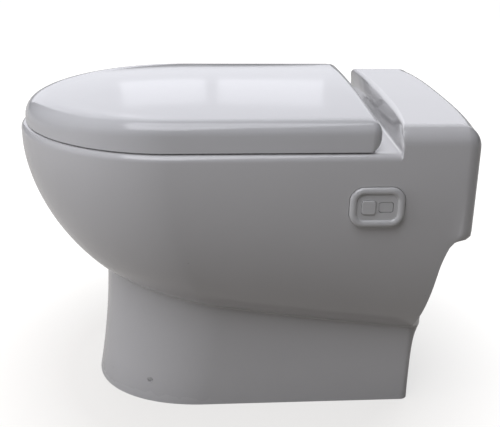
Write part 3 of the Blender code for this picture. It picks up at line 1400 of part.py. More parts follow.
def grinding_basket():
    """The slotted cup that hangs from the cover, with a window towards the inlet."""
    low = basket_floor()
    top = PUMP_TOP
    inner = BASKET_RADIUS - BASKET_WALL
    profile = ((BASKET_EYE, low), (BASKET_RADIUS, low), (BASKET_RADIUS, top), (inner, top),
               (inner, low + BASKET_WALL), (BASKET_EYE, low + BASKET_WALL))
    bm = bmesh.new()
    turned(bm, profile, (0, PUMP_BACK, 0), "Z")
    basket = place("grinding_basket", bm, STEEL)
    for slot in range(SLOT_COUNT):
        bm = bmesh.new()
        box(bm, (-BASKET_RADIUS - OVERRUN, -SLOT_WIDTH / 2, low + 4 * BASKET_WALL),
            (BASKET_RADIUS + OVERRUN, SLOT_WIDTH / 2, low + BASKET_TALL / 2 - BASKET_WALL))
        turn = Matrix.Rotation(math.pi * (slot + 0.5) / SLOT_COUNT, 3, "Z")
        bmesh.ops.rotate(bm, verts=bm.verts, cent=(0, 0, 0), matrix=turn)
        bmesh.ops.translate(bm, verts=bm.verts, vec=(0, PUMP_BACK, 0))
        combine(basket, f"slot_cutter_{slot}", bm)
    bm = bmesh.new()
    half = OUTLET_BORE / 2 - 2 * PUMP_WALL
    box(bm, (-half, PUMP_FRONT, low + BASKET_TALL / 2), (half, PUMP_BACK, top - 2 * BASKET_WALL))
    combine(basket, "basket_window", bm)


def pump_volute():
    """The impeller's casing, standing on the housing's floor and opening to the discharge."""
    low = PUMP_FLOOR + PUMP_WALL + GAP
    top = low + VOLUTE_TALL
    inner = VOLUTE_RADIUS - VOLUTE_WALL
    profile = ((0, low), (VOLUTE_RADIUS, low), (VOLUTE_RADIUS, top), (inner, top),
               (inner, low + VOLUTE_WALL), (0, low + VOLUTE_WALL))
    bm = bmesh.new()
    turned(bm, profile, (0, PUMP_BACK, 0), "Z")
    volute = place("pump_volute", bm, GREY_PLASTIC)
    wall = PUMP_REAR - PUMP_WALL
    bm = bmesh.new()
    cylinder(bm, DISCHARGE_BORE / 2 + VOLUTE_WALL / 2, (0, 0, DISCHARGE_HEIGHT), "Y",
             PUMP_BACK + inner + VOLUTE_WALL / 2, wall - GAP)
    combine(volute, "volute_spout", bm, "UNION")
    bm = bmesh.new()
    cylinder(bm, DISCHARGE_BORE / 2, (0, 0, DISCHARGE_HEIGHT), "Y",
             PUMP_BACK + inner - 2 * VOLUTE_WALL, wall + OVERRUN)
    combine(volute, "volute_bore", bm)


def pump_motor():
    """The motor on the cover, with the blind bore that takes the shaft."""
    top = MOTOR_LOW + MOTOR_TALL
    bore = SHAFT_RADIUS + GAP
    roof = MOTOR_LOW + SHAFT_IN_MOTOR + GAP
    profile = ((0, roof), (bore, roof), (bore, MOTOR_LOW), (MOTOR_RADIUS, MOTOR_LOW),
               (MOTOR_RADIUS, top - MOTOR_CROWN), (MOTOR_RADIUS - MOTOR_CROWN, top), (0, top))
    bm = bmesh.new()
    turned(bm, profile, (0, PUMP_BACK, 0), "Z", 2 * FINE_STEPS)
    place("pump_motor", bm, BLACK_PLASTIC)


def rotor():
    """What the motor turns: shaft, macerator blade and impeller."""
    axis = (0, PUMP_BACK, 0)
    impeller_low = DISCHARGE_HEIGHT - IMPELLER_THICK / 2
    bm = bmesh.new()
    cylinder(bm, SHAFT_RADIUS, axis, "Z", impeller_low, MOTOR_LOW + SHAFT_IN_MOTOR, FINE_STEPS)
    place("motor_shaft", bm, STEEL, axis)

    low = basket_floor() + BASKET_WALL + BLADE_LIFT
    bm = bmesh.new()
    points = []
    for step in range(FINE_STEPS):
        turn = 2 * math.pi * step / FINE_STEPS
        reach = BLADE_RADIUS if step % (FINE_STEPS // 2) == 0 else BLADE_HUB
        points.append((reach * math.cos(turn), PUMP_BACK + reach * math.sin(turn)))
    prism(bm, points, "Z", low, low + BLADE_THICK)
    blade = place("macerator_blade", bm, STEEL, axis, smooth=False)
    bm = bmesh.new()
    cylinder(bm, SHAFT_RADIUS + GAP, axis, "Z", low - OVERRUN, low + BLADE_THICK + OVERRUN,
             FINE_STEPS)
    combine(blade, "blade_bore", bm)

    bm = bmesh.new()
    points = []
    pitch = 2 * math.pi / VANE_COUNT
    root = IMPELLER_RADIUS * VANE_ROOT_share
    for vane in range(VANE_COUNT):
        start = pitch * vane
        for share, reach in ((0.0, root), (VANE_SWEEP_share, IMPELLER_RADIUS),
                             (VANE_SWEEP_share + 0.15, IMPELLER_RADIUS), (0.5, root)):
            turn = start + pitch * share
            points.append((reach * math.cos(turn), PUMP_BACK + reach * math.sin(turn)))
    prism(bm, points, "Z", impeller_low, impeller_low + IMPELLER_THICK)
    impeller = place("pump_impeller", bm, GREY_PLASTIC, axis, smooth=False)
    bm = bmesh.new()
    cylinder(bm, SHAFT_RADIUS + GAP, axis, "Z", impeller_low - OVERRUN,
             impeller_low + IMPELLER_THICK + OVERRUN, FINE_STEPS)
    combine(impeller, "impeller_bore", bm)


def valve_stations():
    """Where the non-return valve's parts start and end behind the pump."""
    plate = PUMP_REAR + SOCKET_DEPTH + GAP
    chamber = plate + VALVE_PLATE
    chamber_end = chamber + CHAMBER_LENGTH
    return plate, chamber, chamber_end


def check_valve():
    """The non-return valve: body, end with the discharge spigot, and the flap."""
    plate, chamber, chamber_end = valve_stations()
    axis = (0, 0, DISCHARGE_HEIGHT)
    socket = DISCHARGE_BORE / 2 + DISCHARGE_WALL + GAP
    outer = CHAMBER_RADIUS + CHAMBER_WALL
    bore = DISCHARGE_BORE / 2
    profile = ((socket, PUMP_REAR + GAP), (socket + SOCKET_WALL, PUMP_REAR + GAP),
               (socket + SOCKET_WALL, plate), (outer, plate), (outer, chamber_end),
               (CHAMBER_RADIUS, chamber_end), (CHAMBER_RADIUS, chamber), (bore, chamber),
               (bore, plate), (socket, plate))
    bm = bmesh.new()
    turned(bm, profile, axis, "Y")
    body = place("check_valve_body", bm, GREY_PLASTIC)
    pivot = (0, chamber + FLAP_PIVOT_OUT, DISCHARGE_HEIGHT + FLAP_PIVOT_UP)
    lug_start = FLAP_BARREL_HALF + 2 * GAP
    for side, sign in SIDES:
        bm = bmesh.new()
        across = sorted((sign * lug_start, sign * (lug_start + VALVE_LUG_THICK)))
        box(bm, (across[0], chamber - VALVE_PLATE / 2, pivot[2] - VALVE_LUG_HALF),
            (across[1], pivot[1] + FLAP_BARREL, pivot[2] + VALVE_LUG_HALF / 2))
        combine(body, f"valve_lug_{side}", bm, "UNION")
    bm = bmesh.new()
    reach = lug_start + VALVE_LUG_THICK + GAP
    cylinder(bm, TRUNNION_RADIUS + GAP, pivot, "X", -reach, reach, FINE_STEPS)
    combine(body, "trunnion_bore", bm)

    start = chamber_end + GAP
    spigot = SPIGOT_BORE / 2
    profile = ((spigot, start), (outer, start), (outer, start + VALVE_PLATE),
               (spigot + SPIGOT_SHELL, start + VALVE_PLATE), (spigot + SPIGOT_SHELL, PIPE_END),
               (spigot, PIPE_END))
    bm = bmesh.new()
    turned(bm, profile, axis, "Y")
    place("check_valve_end", bm, GREY_PLASTIC)

    disc = chamber + GAP
    bm = bmesh.new()
    cylinder(bm, FLAP_RADIUS, axis, "Y", disc, disc + FLAP_THICK)
    flap = place("valve_flap", bm, DARK_RUBBER, pivot)
    bm = bmesh.new()
    half = FLAP_BARREL
    box(bm, (-half, disc, DISCHARGE_HEIGHT), (half, disc + FLAP_THICK, pivot[2]))
    combine(flap, "flap_arm", bm, "UNION")
    bm = bmesh.new()
    cylinder(bm, FLAP_BARREL, pivot, "X", -FLAP_BARREL_HALF, FLAP_BARREL_HALF, FINE_STEPS)
    combine(flap, "flap_barrel", bm, "UNION")
    bm = bmesh.new()
    reach = lug_start + VALVE_LUG_THICK
    cylinder(bm, TRUNNION_RADIUS, pivot, "X", -reach, reach, FINE_STEPS)
    combine(flap, "flap_trunnion", bm, "UNION")


def water_supply():
    """Inlet nipple, valve block with coil and plunger, bracket, hose and spray nozzle."""
    wide, long, tall = BLOCK_SIZE
    front = BLOCK_REAR - long
    middle = BLOCK_REAR - long / 2
    low = WATER_HEIGHT - tall / 2
    top = WATER_HEIGHT + tall / 2
    bm = bmesh.new()
    box(bm, (WATER_ACROSS - wide / 2, front, low), (WATER_ACROSS + wide / 2, BLOCK_REAR, top))
    block = place("valve_block", bm, WHITE_PLASTIC, smooth=False)
    seat = WATER_HEIGHT - BLOCK_BORE
    bm = bmesh.new()
    cylinder(bm, BLOCK_BORE, (WATER_ACROSS, middle, 0), "Z", seat, top + OVERRUN, FINE_STEPS)
    combine(block, "plunger_bore", bm)

    coil_low = top + GAP
    coil_top = coil_low + COIL_TALL
    roof = seat + GAP + PLUNGER_TALL + PLUNGER_TRAVEL + GAP
    profile = ((0, roof), (BLOCK_BORE, roof), (BLOCK_BORE, coil_low), (COIL_RADIUS, coil_low),
               (COIL_RADIUS, coil_top), (0, coil_top))
    bm = bmesh.new()
    turned(bm, profile, (WATER_ACROSS, middle, 0), "Z", FINE_STEPS)
    place("solenoid_coil", bm, BLACK_PLASTIC)
    bm = bmesh.new()
    axis = (WATER_ACROSS, middle, 0)
    cylinder(bm, BLOCK_BORE - PLUNGER_CLEARANCE, axis, "Z", seat + GAP, seat + GAP + PLUNGER_TALL,
             FINE_STEPS)
    place("valve_plunger", bm, STEEL, axis)

    axis = (WATER_ACROSS, 0, WATER_HEIGHT)
    bm = bmesh.new()
    tube(bm, INLET_BORE, INLET_RADIUS, axis, "Y", BLOCK_REAR + GAP, PIPE_END)
    inlet = place("water_inlet", bm, BRASS)
    bm = bmesh.new()
    tube(bm, (INLET_BORE + INLET_RADIUS) / 2, HEX_RADIUS, axis, "Y", HEX_BACK - HEX_WIDTH / 2,
         HEX_BACK + HEX_WIDTH / 2, 6)
    combine(inlet, "inlet_hex", bm, "UNION")

    shelf = low - GAP
    foot = PUMP_FLOOR
    web = BRACKET_THICK / 2
    half = BRACKET_SHELF / 2
    points = [(foot, middle - half), (foot, middle + half), (foot + BRACKET_THICK, middle + half),
              (foot + BRACKET_THICK, middle + web), (shelf - BRACKET_THICK, middle + web),
              (shelf - BRACKET_THICK, middle + half), (shelf, middle + half),
              (shelf, middle - half), (shelf - BRACKET_THICK, middle - half),
              (shelf - BRACKET_THICK, middle - web), (foot + BRACKET_THICK, middle - web),
              (foot + BRACKET_THICK, middle - half)]
    bm = bmesh.new()
    prism(bm, [(y, z) for z, y in points], "X", WATER_ACROSS - wide / 2, WATER_ACROSS + wide / 2)
    place("valve_bracket", bm, ZINC, smooth=False)


def rim_feed():
    """The spray nozzle through the bowl's rear wall and the held hose that feeds it."""
    tip = bowl_back(NOZZLE_HEIGHT) - NOZZLE_REACH
    tail = tip + NOZZLE_REACH + NOZZLE_TAIL
    bm = bmesh.new()
    tube(bm, NOZZLE_BORE, NOZZLE_RADIUS, (0, 0, NOZZLE_HEIGHT), "Y", tip, tail, FINE_STEPS)
    place("spray_nozzle", bm, GREY_PLASTIC)
    front = BLOCK_REAR - BLOCK_SIZE[1]
    start = (WATER_ACROSS, front - GAP, WATER_HEIGHT)
    end = (0.0, tail + GAP, NOZZLE_HEIGHT)
    rise = end[2] - start[2]
    reach = start[1] - end[1]
    up_shares = (0.0, 0.02, 0.09, 0.20, 0.38, 0.58, 0.76, 0.89, 0.97, 1.0)
    in_shares = (0.0, 0.0, 0.0, 0.0, 0.03, 0.12, 0.30, 0.54, 0.80, 0.98)
    ahead_shares = (0.30, 0.62, 0.88, 0.97, 0.92, 0.78, 0.55, 0.30, 0.08, -0.12)
    route = [start]
    for up, inward, ahead in zip(up_shares, in_shares, ahead_shares):
        route.append((start[0] * (1 - inward), start[1] - reach * ahead, start[2] + rise * up))
    route.append((0.0, (route[-1][1] + end[1]) / 2, end[2]))
    hose("rim_hose", route + [end], HOSE_RADIUS, GREY_PLASTIC)


def bowl_back(height):
    """Where the bowl's rear wall is, on the centre line, at a height."""
    level = (RIM_HEIGHT - height) / BOWL_DEPTH
    share = read_table(level, BOWL_LEVEL_shares, BOWL_BACK_shares)
    return SUMP_BACK + (BOWL_REAR - SUMP_BACK) * share


def electrics():
    """Control box with its lid, circuit board and cable gland."""
    wide, long, tall = BOX_SIZE
    low = (BOX_ACROSS - wide / 2, BOX_FRONT, PUMP_FLOOR)
    high = (BOX_ACROSS + wide / 2, BOX_FRONT + long, PUMP_FLOOR + tall)
    bm = bmesh.new()
    open_box(bm, low, high, BOX_WALL, BOX_WALL, 2, 1)
    case = place("control_box", bm, WHITE_PLASTIC, smooth=False)
    bm = bmesh.new()
    cylinder(bm, GLAND_NECK + GAP, (BOX_ACROSS, high[1], GLAND_HEIGHT), "Y",
             -BOX_WALL - OVERRUN, OVERRUN, FINE_STEPS)
    combine(case, "gland_bore", bm)
    bm = bmesh.new()
    box(bm, (low[0], low[1], high[2] + GAP), (high[0], high[1], high[2] + GAP + BOX_LID))
    place("control_box_lid", bm, WHITE_PLASTIC, smooth=False)
    bm = bmesh.new()
    floor = low[2] + BOX_WALL + GAP
    box(bm, (BOX_ACROSS - BOARD_THICK / 2, low[1] + BOARD_SPARE, floor),
        (BOX_ACROSS + BOARD_THICK / 2, high[1] - 2 * BOARD_SPARE, high[2] - BOARD_SPARE))
    place("circuit_board", bm, GREEN_BOARD, smooth=False)
    start = high[1] - BOX_WALL
    face = high[1] + GAP
    profile = ((GLAND_BORE, start), (GLAND_NECK, start), (GLAND_NECK, face),
               (GLAND_FLANGE, face), (GLAND_FLANGE, face + GLAND_LENGTH / 2),
               (GLAND_NECK, face + GLAND_LENGTH), (GLAND_BORE, face + GLAND_LENGTH))
    bm = bmesh.new()
    turned(bm, profile, (BOX_ACROSS, 0, GLAND_HEIGHT), "Y", FINE_STEPS)
    place("cable_gland", bm, BLACK_PLASTIC)


def main():
    clear_scene()
    ceramic_body()
    lid_shell()
    seat_ring()
    buffers()
    for side, sign in SIDES:
        hinge(side, sign)
    flush_frame()
    flush_pads()
    switch_cable(flush_inside())
    floor_rails()
    chassis_plate()
    drain_sleeve()
    macerator_housing()
    macerator_cover()
    grinding_basket()
    pump_volute()
    pump_motor()
    rotor()
    check_valve()
    water_supply()
    rim_feed()
    electrics()


main()
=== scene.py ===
"""Looks of a compact floor toilet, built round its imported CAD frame.

Metres, +Z up. The bowl's front faces -Y, the wall is on the +Y side and the flush
pads are on the +X side. Each operator makes one piece, or one group of like pieces.
"""

import json
import math
from collections import namedtuple
from contextlib import contextmanager

import bpy
from mathutils import Matrix, Vector


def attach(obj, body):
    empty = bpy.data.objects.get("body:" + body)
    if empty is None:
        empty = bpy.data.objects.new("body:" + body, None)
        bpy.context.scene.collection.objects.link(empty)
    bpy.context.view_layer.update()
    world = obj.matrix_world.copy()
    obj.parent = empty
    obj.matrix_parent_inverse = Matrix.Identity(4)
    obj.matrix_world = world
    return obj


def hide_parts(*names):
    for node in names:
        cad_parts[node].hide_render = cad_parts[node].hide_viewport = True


bl_info = {
    "name": "Compact Toilet",
    "version": (1, 0, 0),
    "blender": (4, 5, 0),
    "location": "View3D > Sidebar > Toilet",
    "description": "Glazed body, lid, seat and fittings of a compact floor toilet",
    "category": "Object",
}

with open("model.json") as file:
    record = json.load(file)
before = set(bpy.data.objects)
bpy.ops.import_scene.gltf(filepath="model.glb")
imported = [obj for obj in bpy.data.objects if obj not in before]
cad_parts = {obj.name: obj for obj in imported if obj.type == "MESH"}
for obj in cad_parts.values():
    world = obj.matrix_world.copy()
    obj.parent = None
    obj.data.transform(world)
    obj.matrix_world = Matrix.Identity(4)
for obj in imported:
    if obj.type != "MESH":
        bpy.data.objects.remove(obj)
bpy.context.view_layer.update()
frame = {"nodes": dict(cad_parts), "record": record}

QUARTER = math.pi / 2

# Whole body, the same sizes as in the part's source
LENGTH = 0.520
WIDTH = 0.360
RIM_HEIGHT = 0.346
DECK_RISE = 0.028
CLAY = 0.010
SLAB = 0.012
GAP = 0.0003
OVERRUN = 0.004     # how far a cutter passes the face that it cuts
SEAM_MERGE = 0.000002
PIECE_MERGE = 0.00002
FRONT_Y = -LENGTH / 2
REAR_Y = LENGTH / 2
HALF = WIDTH / 2
DECK_HEIGHT = RIM_HEIGHT + DECK_RISE

# Rim, neck and foot
LEAST_CORNER = 0.006
BAY_FILLET = 0.002
RIM_EDGE = 0.008
SHOULDER_DROP = 0.011
TIP_DROP = 0.010
TIP_POWER = 1.8
SIDE_POWER = 2.0
TIP_TURN = math.radians(57.0)
SIDE_TURN = math.radians(75.0)
REAR_DROPS = (0.0, 0.37, 0.42, 0.49, 0.55, 0.71, 0.80, 0.90, 1.0)
REAR_SETBACKS = (0.0, 0.0, 0.36, 0.70, 0.86, 0.96, 1.0, 1.02, 1.0)
REAR_TURN = 0.052
FLARE_POWER = 1.7
REAR_FLARE_POWER = 6.0
NECK_HEIGHT = 0.1305
NECK_FALL = 0.165
NECK_RADIUS = 4.0
NECK_FILLET = 0.0022

# Raised deck
DECK_FOOT_Y = REAR_Y - 0.086
RIDGE_Y = REAR_Y - 0.0768
RIDGE_BOW = 0.0145
RIDGE_POWER = 3.0
DECK_EDGE = 0.020
DECK_CORNER_EDGE = 0.026
DECK_REAR_EDGE = 0.012
WALL_BEFORE = 0.0025
WALL_AFTER = 0.0030
COVE_END = 0.34     # share of the wall's rows up to the top of the cove
RIDGE_START = 0.62

# Bowl
BOWL_HALF = 0.122
BOWL_TIP = 0.055
BOWL_REAR = REAR_Y - 0.175
SUMP_BACK = REAR_Y - 0.230
BOWL_DEPTH = RIM_HEIGHT - 0.110
BOWL_LIP = 0.005
BOWL_POWER = 2.15
BOWL_LEVELS = (0.0, 0.08, 0.25, 0.45, 0.66, 0.83, 0.95, 1.0)
BOWL_WIDTHS = (1.0, 0.985, 0.94, 0.85, 0.64, 0.40, 0.27, 0.20)
BOWL_FRONTS = (1.0, 0.985, 0.95, 0.88, 0.64, 0.36, 0.20, 0.14)
BOWL_BACKS = (1.0, 0.97, 0.90, 0.80, 0.64, 0.56, 0.50, 0.40)
OUTLET_RADIUS = 0.025
OUTLET_BORE = 0.024
OUTLET_HEIGHT = 0.150
OUTLET_END = REAR_Y - 0.176
HORN_WALL = 0.008
SERVICE_WIDTH = 0.164
SERVICE_HEIGHT = 0.150
SERVICE_CORNER = 0.020

# Hinges, lid and seat
HINGE_BACK = REAR_Y - 0.1205
HINGE_Z = RIM_HEIGHT + 0.0145
HINGE_HALF = 0.075
POST_HALF = 0.009
PIN_RADIUS = 0.003
KNUCKLE_GAP = 0.0005
SEAT_LUG_WIDTH = 0.0085
SEAT_LUG_RADIUS = 0.0065
LID_LUG_WIDTH = 0.007
LID_LUG_RADIUS = 0.007
LID_WEB_INSET = 0.001
LID_WEB_SINK = 0.0044
STUD_HOLE = 0.006
LID_WALL = 0.004
LID_TOP = RIM_HEIGHT + 0.035
LID_ROUND = 0.016
LID_TIP_MORE = 1.2
LID_TIP_TALL = 0.75
LID_TIP_SEAM = 0.010
LID_CROWN = 0.007
LID_REAR_ARCH = 0.75
LID_REAR_ROUND = 0.013
LID_REAR = HINGE_BACK + LID_REAR_ROUND
LID_CENTRE = FRONT_Y + 0.210
NOTCH_RISE = 0.0125
NOTCH_SPARE = 0.001
SEAT_BOTTOM = RIM_HEIGHT + 0.004
SEAT_THICK = 0.018
SEAT_WEB_REACH = 0.012
SEAT_WEB_LOW = 0.002
SEAT_WEB_HIGH = 0.0144
SEAT_ACROSS = (0.06, 0.015, 0.0, 0.0, 0.05, 0.17, 0.45, 0.80, 0.96, 1.0, 0.985, 0.93)
SEAT_UPS = (0.0, 0.03, 0.14, 0.55, 0.85, 0.97, 1.0, 0.82, 0.50, 0.20, 0.03, 0.0)

# Flush panel
PANEL_BACK = REAR_Y - 0.1103
PANEL_HEIGHT = RIM_HEIGHT - 0.0588
PANEL_WIDTH = 0.060
PANEL_TALL = 0.0455
PANEL_CORNER = 0.016
PANEL_FLOOR = HALF - 0.008
PANEL_FACE = PANEL_FLOOR + GAP + 0.007
PANEL_BORDER = 0.0085
PANEL_RECESS = 0.0025
PANEL_PLAY = 0.0006
PANEL_LEAST_CORNER = 0.002
FIELD_LAP = 0.0004
FIELD_STEP = 0.0010
FIELD_DIP = 0.0001
FULL_PAD = (0.0153, 0.0153)
HALF_PAD = (0.0155, 0.0115)
PAD_SPLIT = 0.0035
FULL_PROUD = 0.0015
HALF_PROUD = -0.0005
PAD_THICK = 0.004
STEM_HALF = 0.004
STEM_SINK = 0.002
SPIGOT_WALL = 0.0016
SPIGOT_CORNER = 0.003
SPIGOT_SINK = 0.002
SPIGOT_END = PANEL_FLOOR + GAP - 0.016
SCREW_Y = FRONT_Y + 0.152
SCREW_Z = 0.028
SCREW_HOLE = 0.0021
CAP_HOLE = 0.0034
SCREW_SINK = 0.0055
NOZZLE_Z = RIM_HEIGHT - 0.041
NOZZLE_HOLE = 0.0073

# How finely the big pieces are drawn
NOSE_STEPS = 56
BEFORE_STEPS = 16
WALL_STEPS = 16
AFTER_STEPS = 6
CORNER_STEPS = 10
REAR_STEPS = 6
EVEN_STEPS = 30
FOOT_ROWS = 12
FILLET_ROWS = 7
SWELL_ROWS = 40
EDGE_ROWS = 10
ACROSS_STEPS = 44
OVAL_STEPS = 144
CROWN_STEPS = 22
PANEL_STEPS = 12
RING_STEPS = 16
BOWL_ROWS = 40
LIP_ROWS = 8
SHELL_ROWS = 30
LID_ROWS = 10
LINING_ROWS = 8

# A plan line's half width, its taper to the rear, where its round nose starts and ends, its
# rear, the radius of its rear corners, the nose's powers, and whether it meets the deck's wall
Plan = namedtuple("Plan", "half taper tip nose_end rear corner powers walled")

# How far a column belongs to the tip, to the rear, and up the deck's wall, as shares
Column = namedtuple("Column", "front rear wall")

RIM_PLAN = Plan(HALF, 0.004, FRONT_Y, FRONT_Y + 0.188, REAR_Y, 0.018, (1.8, 1.95), True)
NECK_PLAN = Plan(0.106, 0.004, FRONT_Y + 0.095, FRONT_Y + 0.241, REAR_Y - 0.028, 0.018,
                 (2.5, 2.0), True)
FOOT_PLAN = Plan(0.114, 0.006, FRONT_Y + 0.077, FRONT_Y + 0.216, REAR_Y - 0.040, 0.010,
                 (2.2, 2.1), True)
LID_PLAN = Plan(HALF - 0.004, 0.002, FRONT_Y + 0.006, RIM_PLAN.nose_end, LID_REAR, 0.012,
                (1.8, 1.95), False)
SEAT_PLAN = Plan(LID_PLAN.half - 0.008, 0.002, LID_PLAN.tip + 0.008, LID_PLAN.nose_end,
                 REAR_Y - 0.142, 0.030, (1.8, 1.95), False)
HOLE_PLAN = Plan(0.115, 0.0, FRONT_Y + 0.070, FRONT_Y + 0.210, REAR_Y - 0.180, 0.085,
                 (2.0, 2.0), False)


class BodySizes(bpy.types.PropertyGroup):
    """Sizes of the glazed body that a user would change."""

    neck_fillet: bpy.props.FloatProperty(
        name="Neck fillet", description="How far the glaze softens the crease at the neck",
        default=NECK_FILLET, min=0.001, max=0.02, unit="LENGTH")
    bowl_lip: bpy.props.FloatProperty(
        name="Bowl lip", description="Rounding of the rim where it turns into the bowl",
        default=BOWL_LIP, min=0.001, max=0.01, unit="LENGTH")
    cove: bpy.props.FloatProperty(
        name="Deck cove", description="Rounding at the foot of the deck's front wall",
        default=0.0035, min=0.001, max=0.006, unit="LENGTH")
    ridge: bpy.props.FloatProperty(
        name="Deck ridge", description="Rounding of the deck's front edge",
        default=0.004, min=0.002, max=0.012, unit="LENGTH")


class PanelSizes(bpy.types.PropertyGroup):
    """Sizes of the flush panel that a user would change."""

    roll: bpy.props.FloatProperty(
        name="Ring roll", description="How far the raised ring is rounded, from its crest down",
        default=0.0034, min=0.0005, max=0.004, unit="LENGTH")
    pad_roll: bpy.props.FloatProperty(
        name="Pad roll", description="Rounding of each pad's face",
        default=0.0009, min=0.0002, max=0.002, unit="LENGTH")
    pad_corner: bpy.props.FloatProperty(
        name="Pad corner", description="Radius of each pad's corners",
        default=0.003, min=0.001, max=0.006, unit="LENGTH")


class Finishes(bpy.types.PropertyGroup):
    """Colours of the finishes."""

    glaze: bpy.props.FloatVectorProperty(
        name="Glaze", description="Colour of the fired glaze",
        default=(0.72, 0.715, 0.715), subtype="COLOR", min=0.0, max=1.0)
    plastic: bpy.props.FloatVectorProperty(
        name="Seat plastic", description="Colour of the lid and seat",
        default=(0.74, 0.74, 0.745), subtype="COLOR", min=0.0, max=1.0)
    pad: bpy.props.FloatVectorProperty(
        name="Pads", description="Colour of the flush pads and their frame",
        default=(0.70, 0.70, 0.695), subtype="COLOR", min=0.0, max=1.0)
    floor: bpy.props.FloatVectorProperty(
        name="Floor", description="Colour of the studio floor",
        default=(0.28, 0.26, 0.232), subtype="COLOR", min=0.0, max=1.0)


def outline(plan, inset=0.0):
    """A closed plan line from the tip round by +X, the wall side and -X, as (x, y) pairs."""
    half = plan.half - inset
    tip = plan.tip + inset
    rear = plan.rear - inset
    corner = max(plan.corner - inset, LEAST_CORNER)
    points = []
    for step in range(NOSE_STEPS):
        turn = QUARTER * step / NOSE_STEPS
        across = half * math.sin(turn) ** (2 / plan.powers[0])
        along = (plan.nose_end - tip) * math.cos(turn) ** (2 / plan.powers[1])
        points.append((across, plan.nose_end - along))
    side_end = rear - corner
    if plan.walled:
        low = DECK_FOOT_Y - WALL_BEFORE
        high = DECK_FOOT_Y + WALL_AFTER
        places = spread(plan.nose_end, low, BEFORE_STEPS)
        places += spread(low, high, WALL_STEPS)
        places += spread(high, side_end, AFTER_STEPS) + [side_end]
    else:
        places = spread(plan.nose_end, side_end, EVEN_STEPS) + [side_end]
    run = side_end - plan.nose_end
    points += [(half - plan.taper * (y - plan.nose_end) / run, y) for y in places]
    rear_half = half - plan.taper
    for step in range(1, CORNER_STEPS + 1):
        turn = QUARTER * step / CORNER_STEPS
        points.append((rear_half - corner + corner * math.cos(turn),
                       rear - corner + corner * math.sin(turn)))
    for step in range(1, REAR_STEPS + 1):
        points.append(((rear_half - corner) * (1 - step / REAR_STEPS), rear))
    return points + [(-x, y) for x, y in reversed(points[1:-1])]


def spread(start, end, steps):
    """Even places from start up to, but without, end."""
    return [start + (end - start) * step / steps for step in range(steps)]


def columns(walled):
    """What each column of an outline belongs to: the nose, the deck's wall, a corner."""
    result = [Column(math.cos(QUARTER * step / NOSE_STEPS), 0.0, 0.0)
              for step in range(NOSE_STEPS)]
    if walled:
        result += [Column(0.0, 0.0, 0.0)] * BEFORE_STEPS
        result += [Column(0.0, 0.0, step / WALL_STEPS) for step in range(WALL_STEPS)]
        result += [Column(0.0, 0.0, 1.0)] * (AFTER_STEPS + 1)
    else:
        result += [Column(0.0, 0.0, 0.0)] * (EVEN_STEPS + 1)
    result += [Column(0.0, step / CORNER_STEPS, 1.0) for step in range(1, CORNER_STEPS + 1)]
    result += [Column(0.0, 1.0, 1.0)] * REAR_STEPS
    return result + list(reversed(result[1:-1]))


BODY_COLUMNS = columns(True)
SHELL_COLUMNS = columns(False)
WALL_START = NOSE_STEPS + BEFORE_STEPS


def smooth_table(value, places, results):
    """The result at a value on a smooth curve through a table, with no overshoot."""
    runs = [high - low for low, high in zip(places, places[1:])]
    rises = [(b - a) / run for a, b, run in zip(results, results[1:], runs)]
    slopes = [rises[0]]
    for before, after in zip(rises, rises[1:]):
        slopes.append(0.0 if before * after <= 0 else 2 * before * after / (before + after))
    slopes.append(rises[-1])
    i = next((i for i, high in enumerate(places[1:]) if value <= high), len(runs) - 1)
    t = min(max((value - places[i]) / runs[i], 0.0), 1.0)
    back = 1 - t
    return (results[i] * (1 + 2 * t) * back * back + results[i + 1] * (3 - 2 * t) * t * t
            + runs[i] * t * back * (slopes[i] * back - slopes[i + 1] * t))


def neck_height(y):
    """Height of the line where the bowl's swell meets the foot."""
    return NECK_HEIGHT - NECK_FALL * y + y * y / (2 * NECK_RADIUS)


def walk(line, lengths, distance):
    """The point at a distance along a line of points."""
    for i in range(1, len(line)):
        if distance <= lengths[i] or i == len(line) - 1:
            run = max(lengths[i] - lengths[i - 1], 1e-9)
            return line[i - 1].lerp(line[i], (distance - lengths[i - 1]) / run)


def measured(line):
    """How far along a line each of its points is."""
    lengths = [0.0]
    for a, b in zip(line, line[1:]):
        lengths.append(lengths[-1] + (b - a).length)
    return lengths


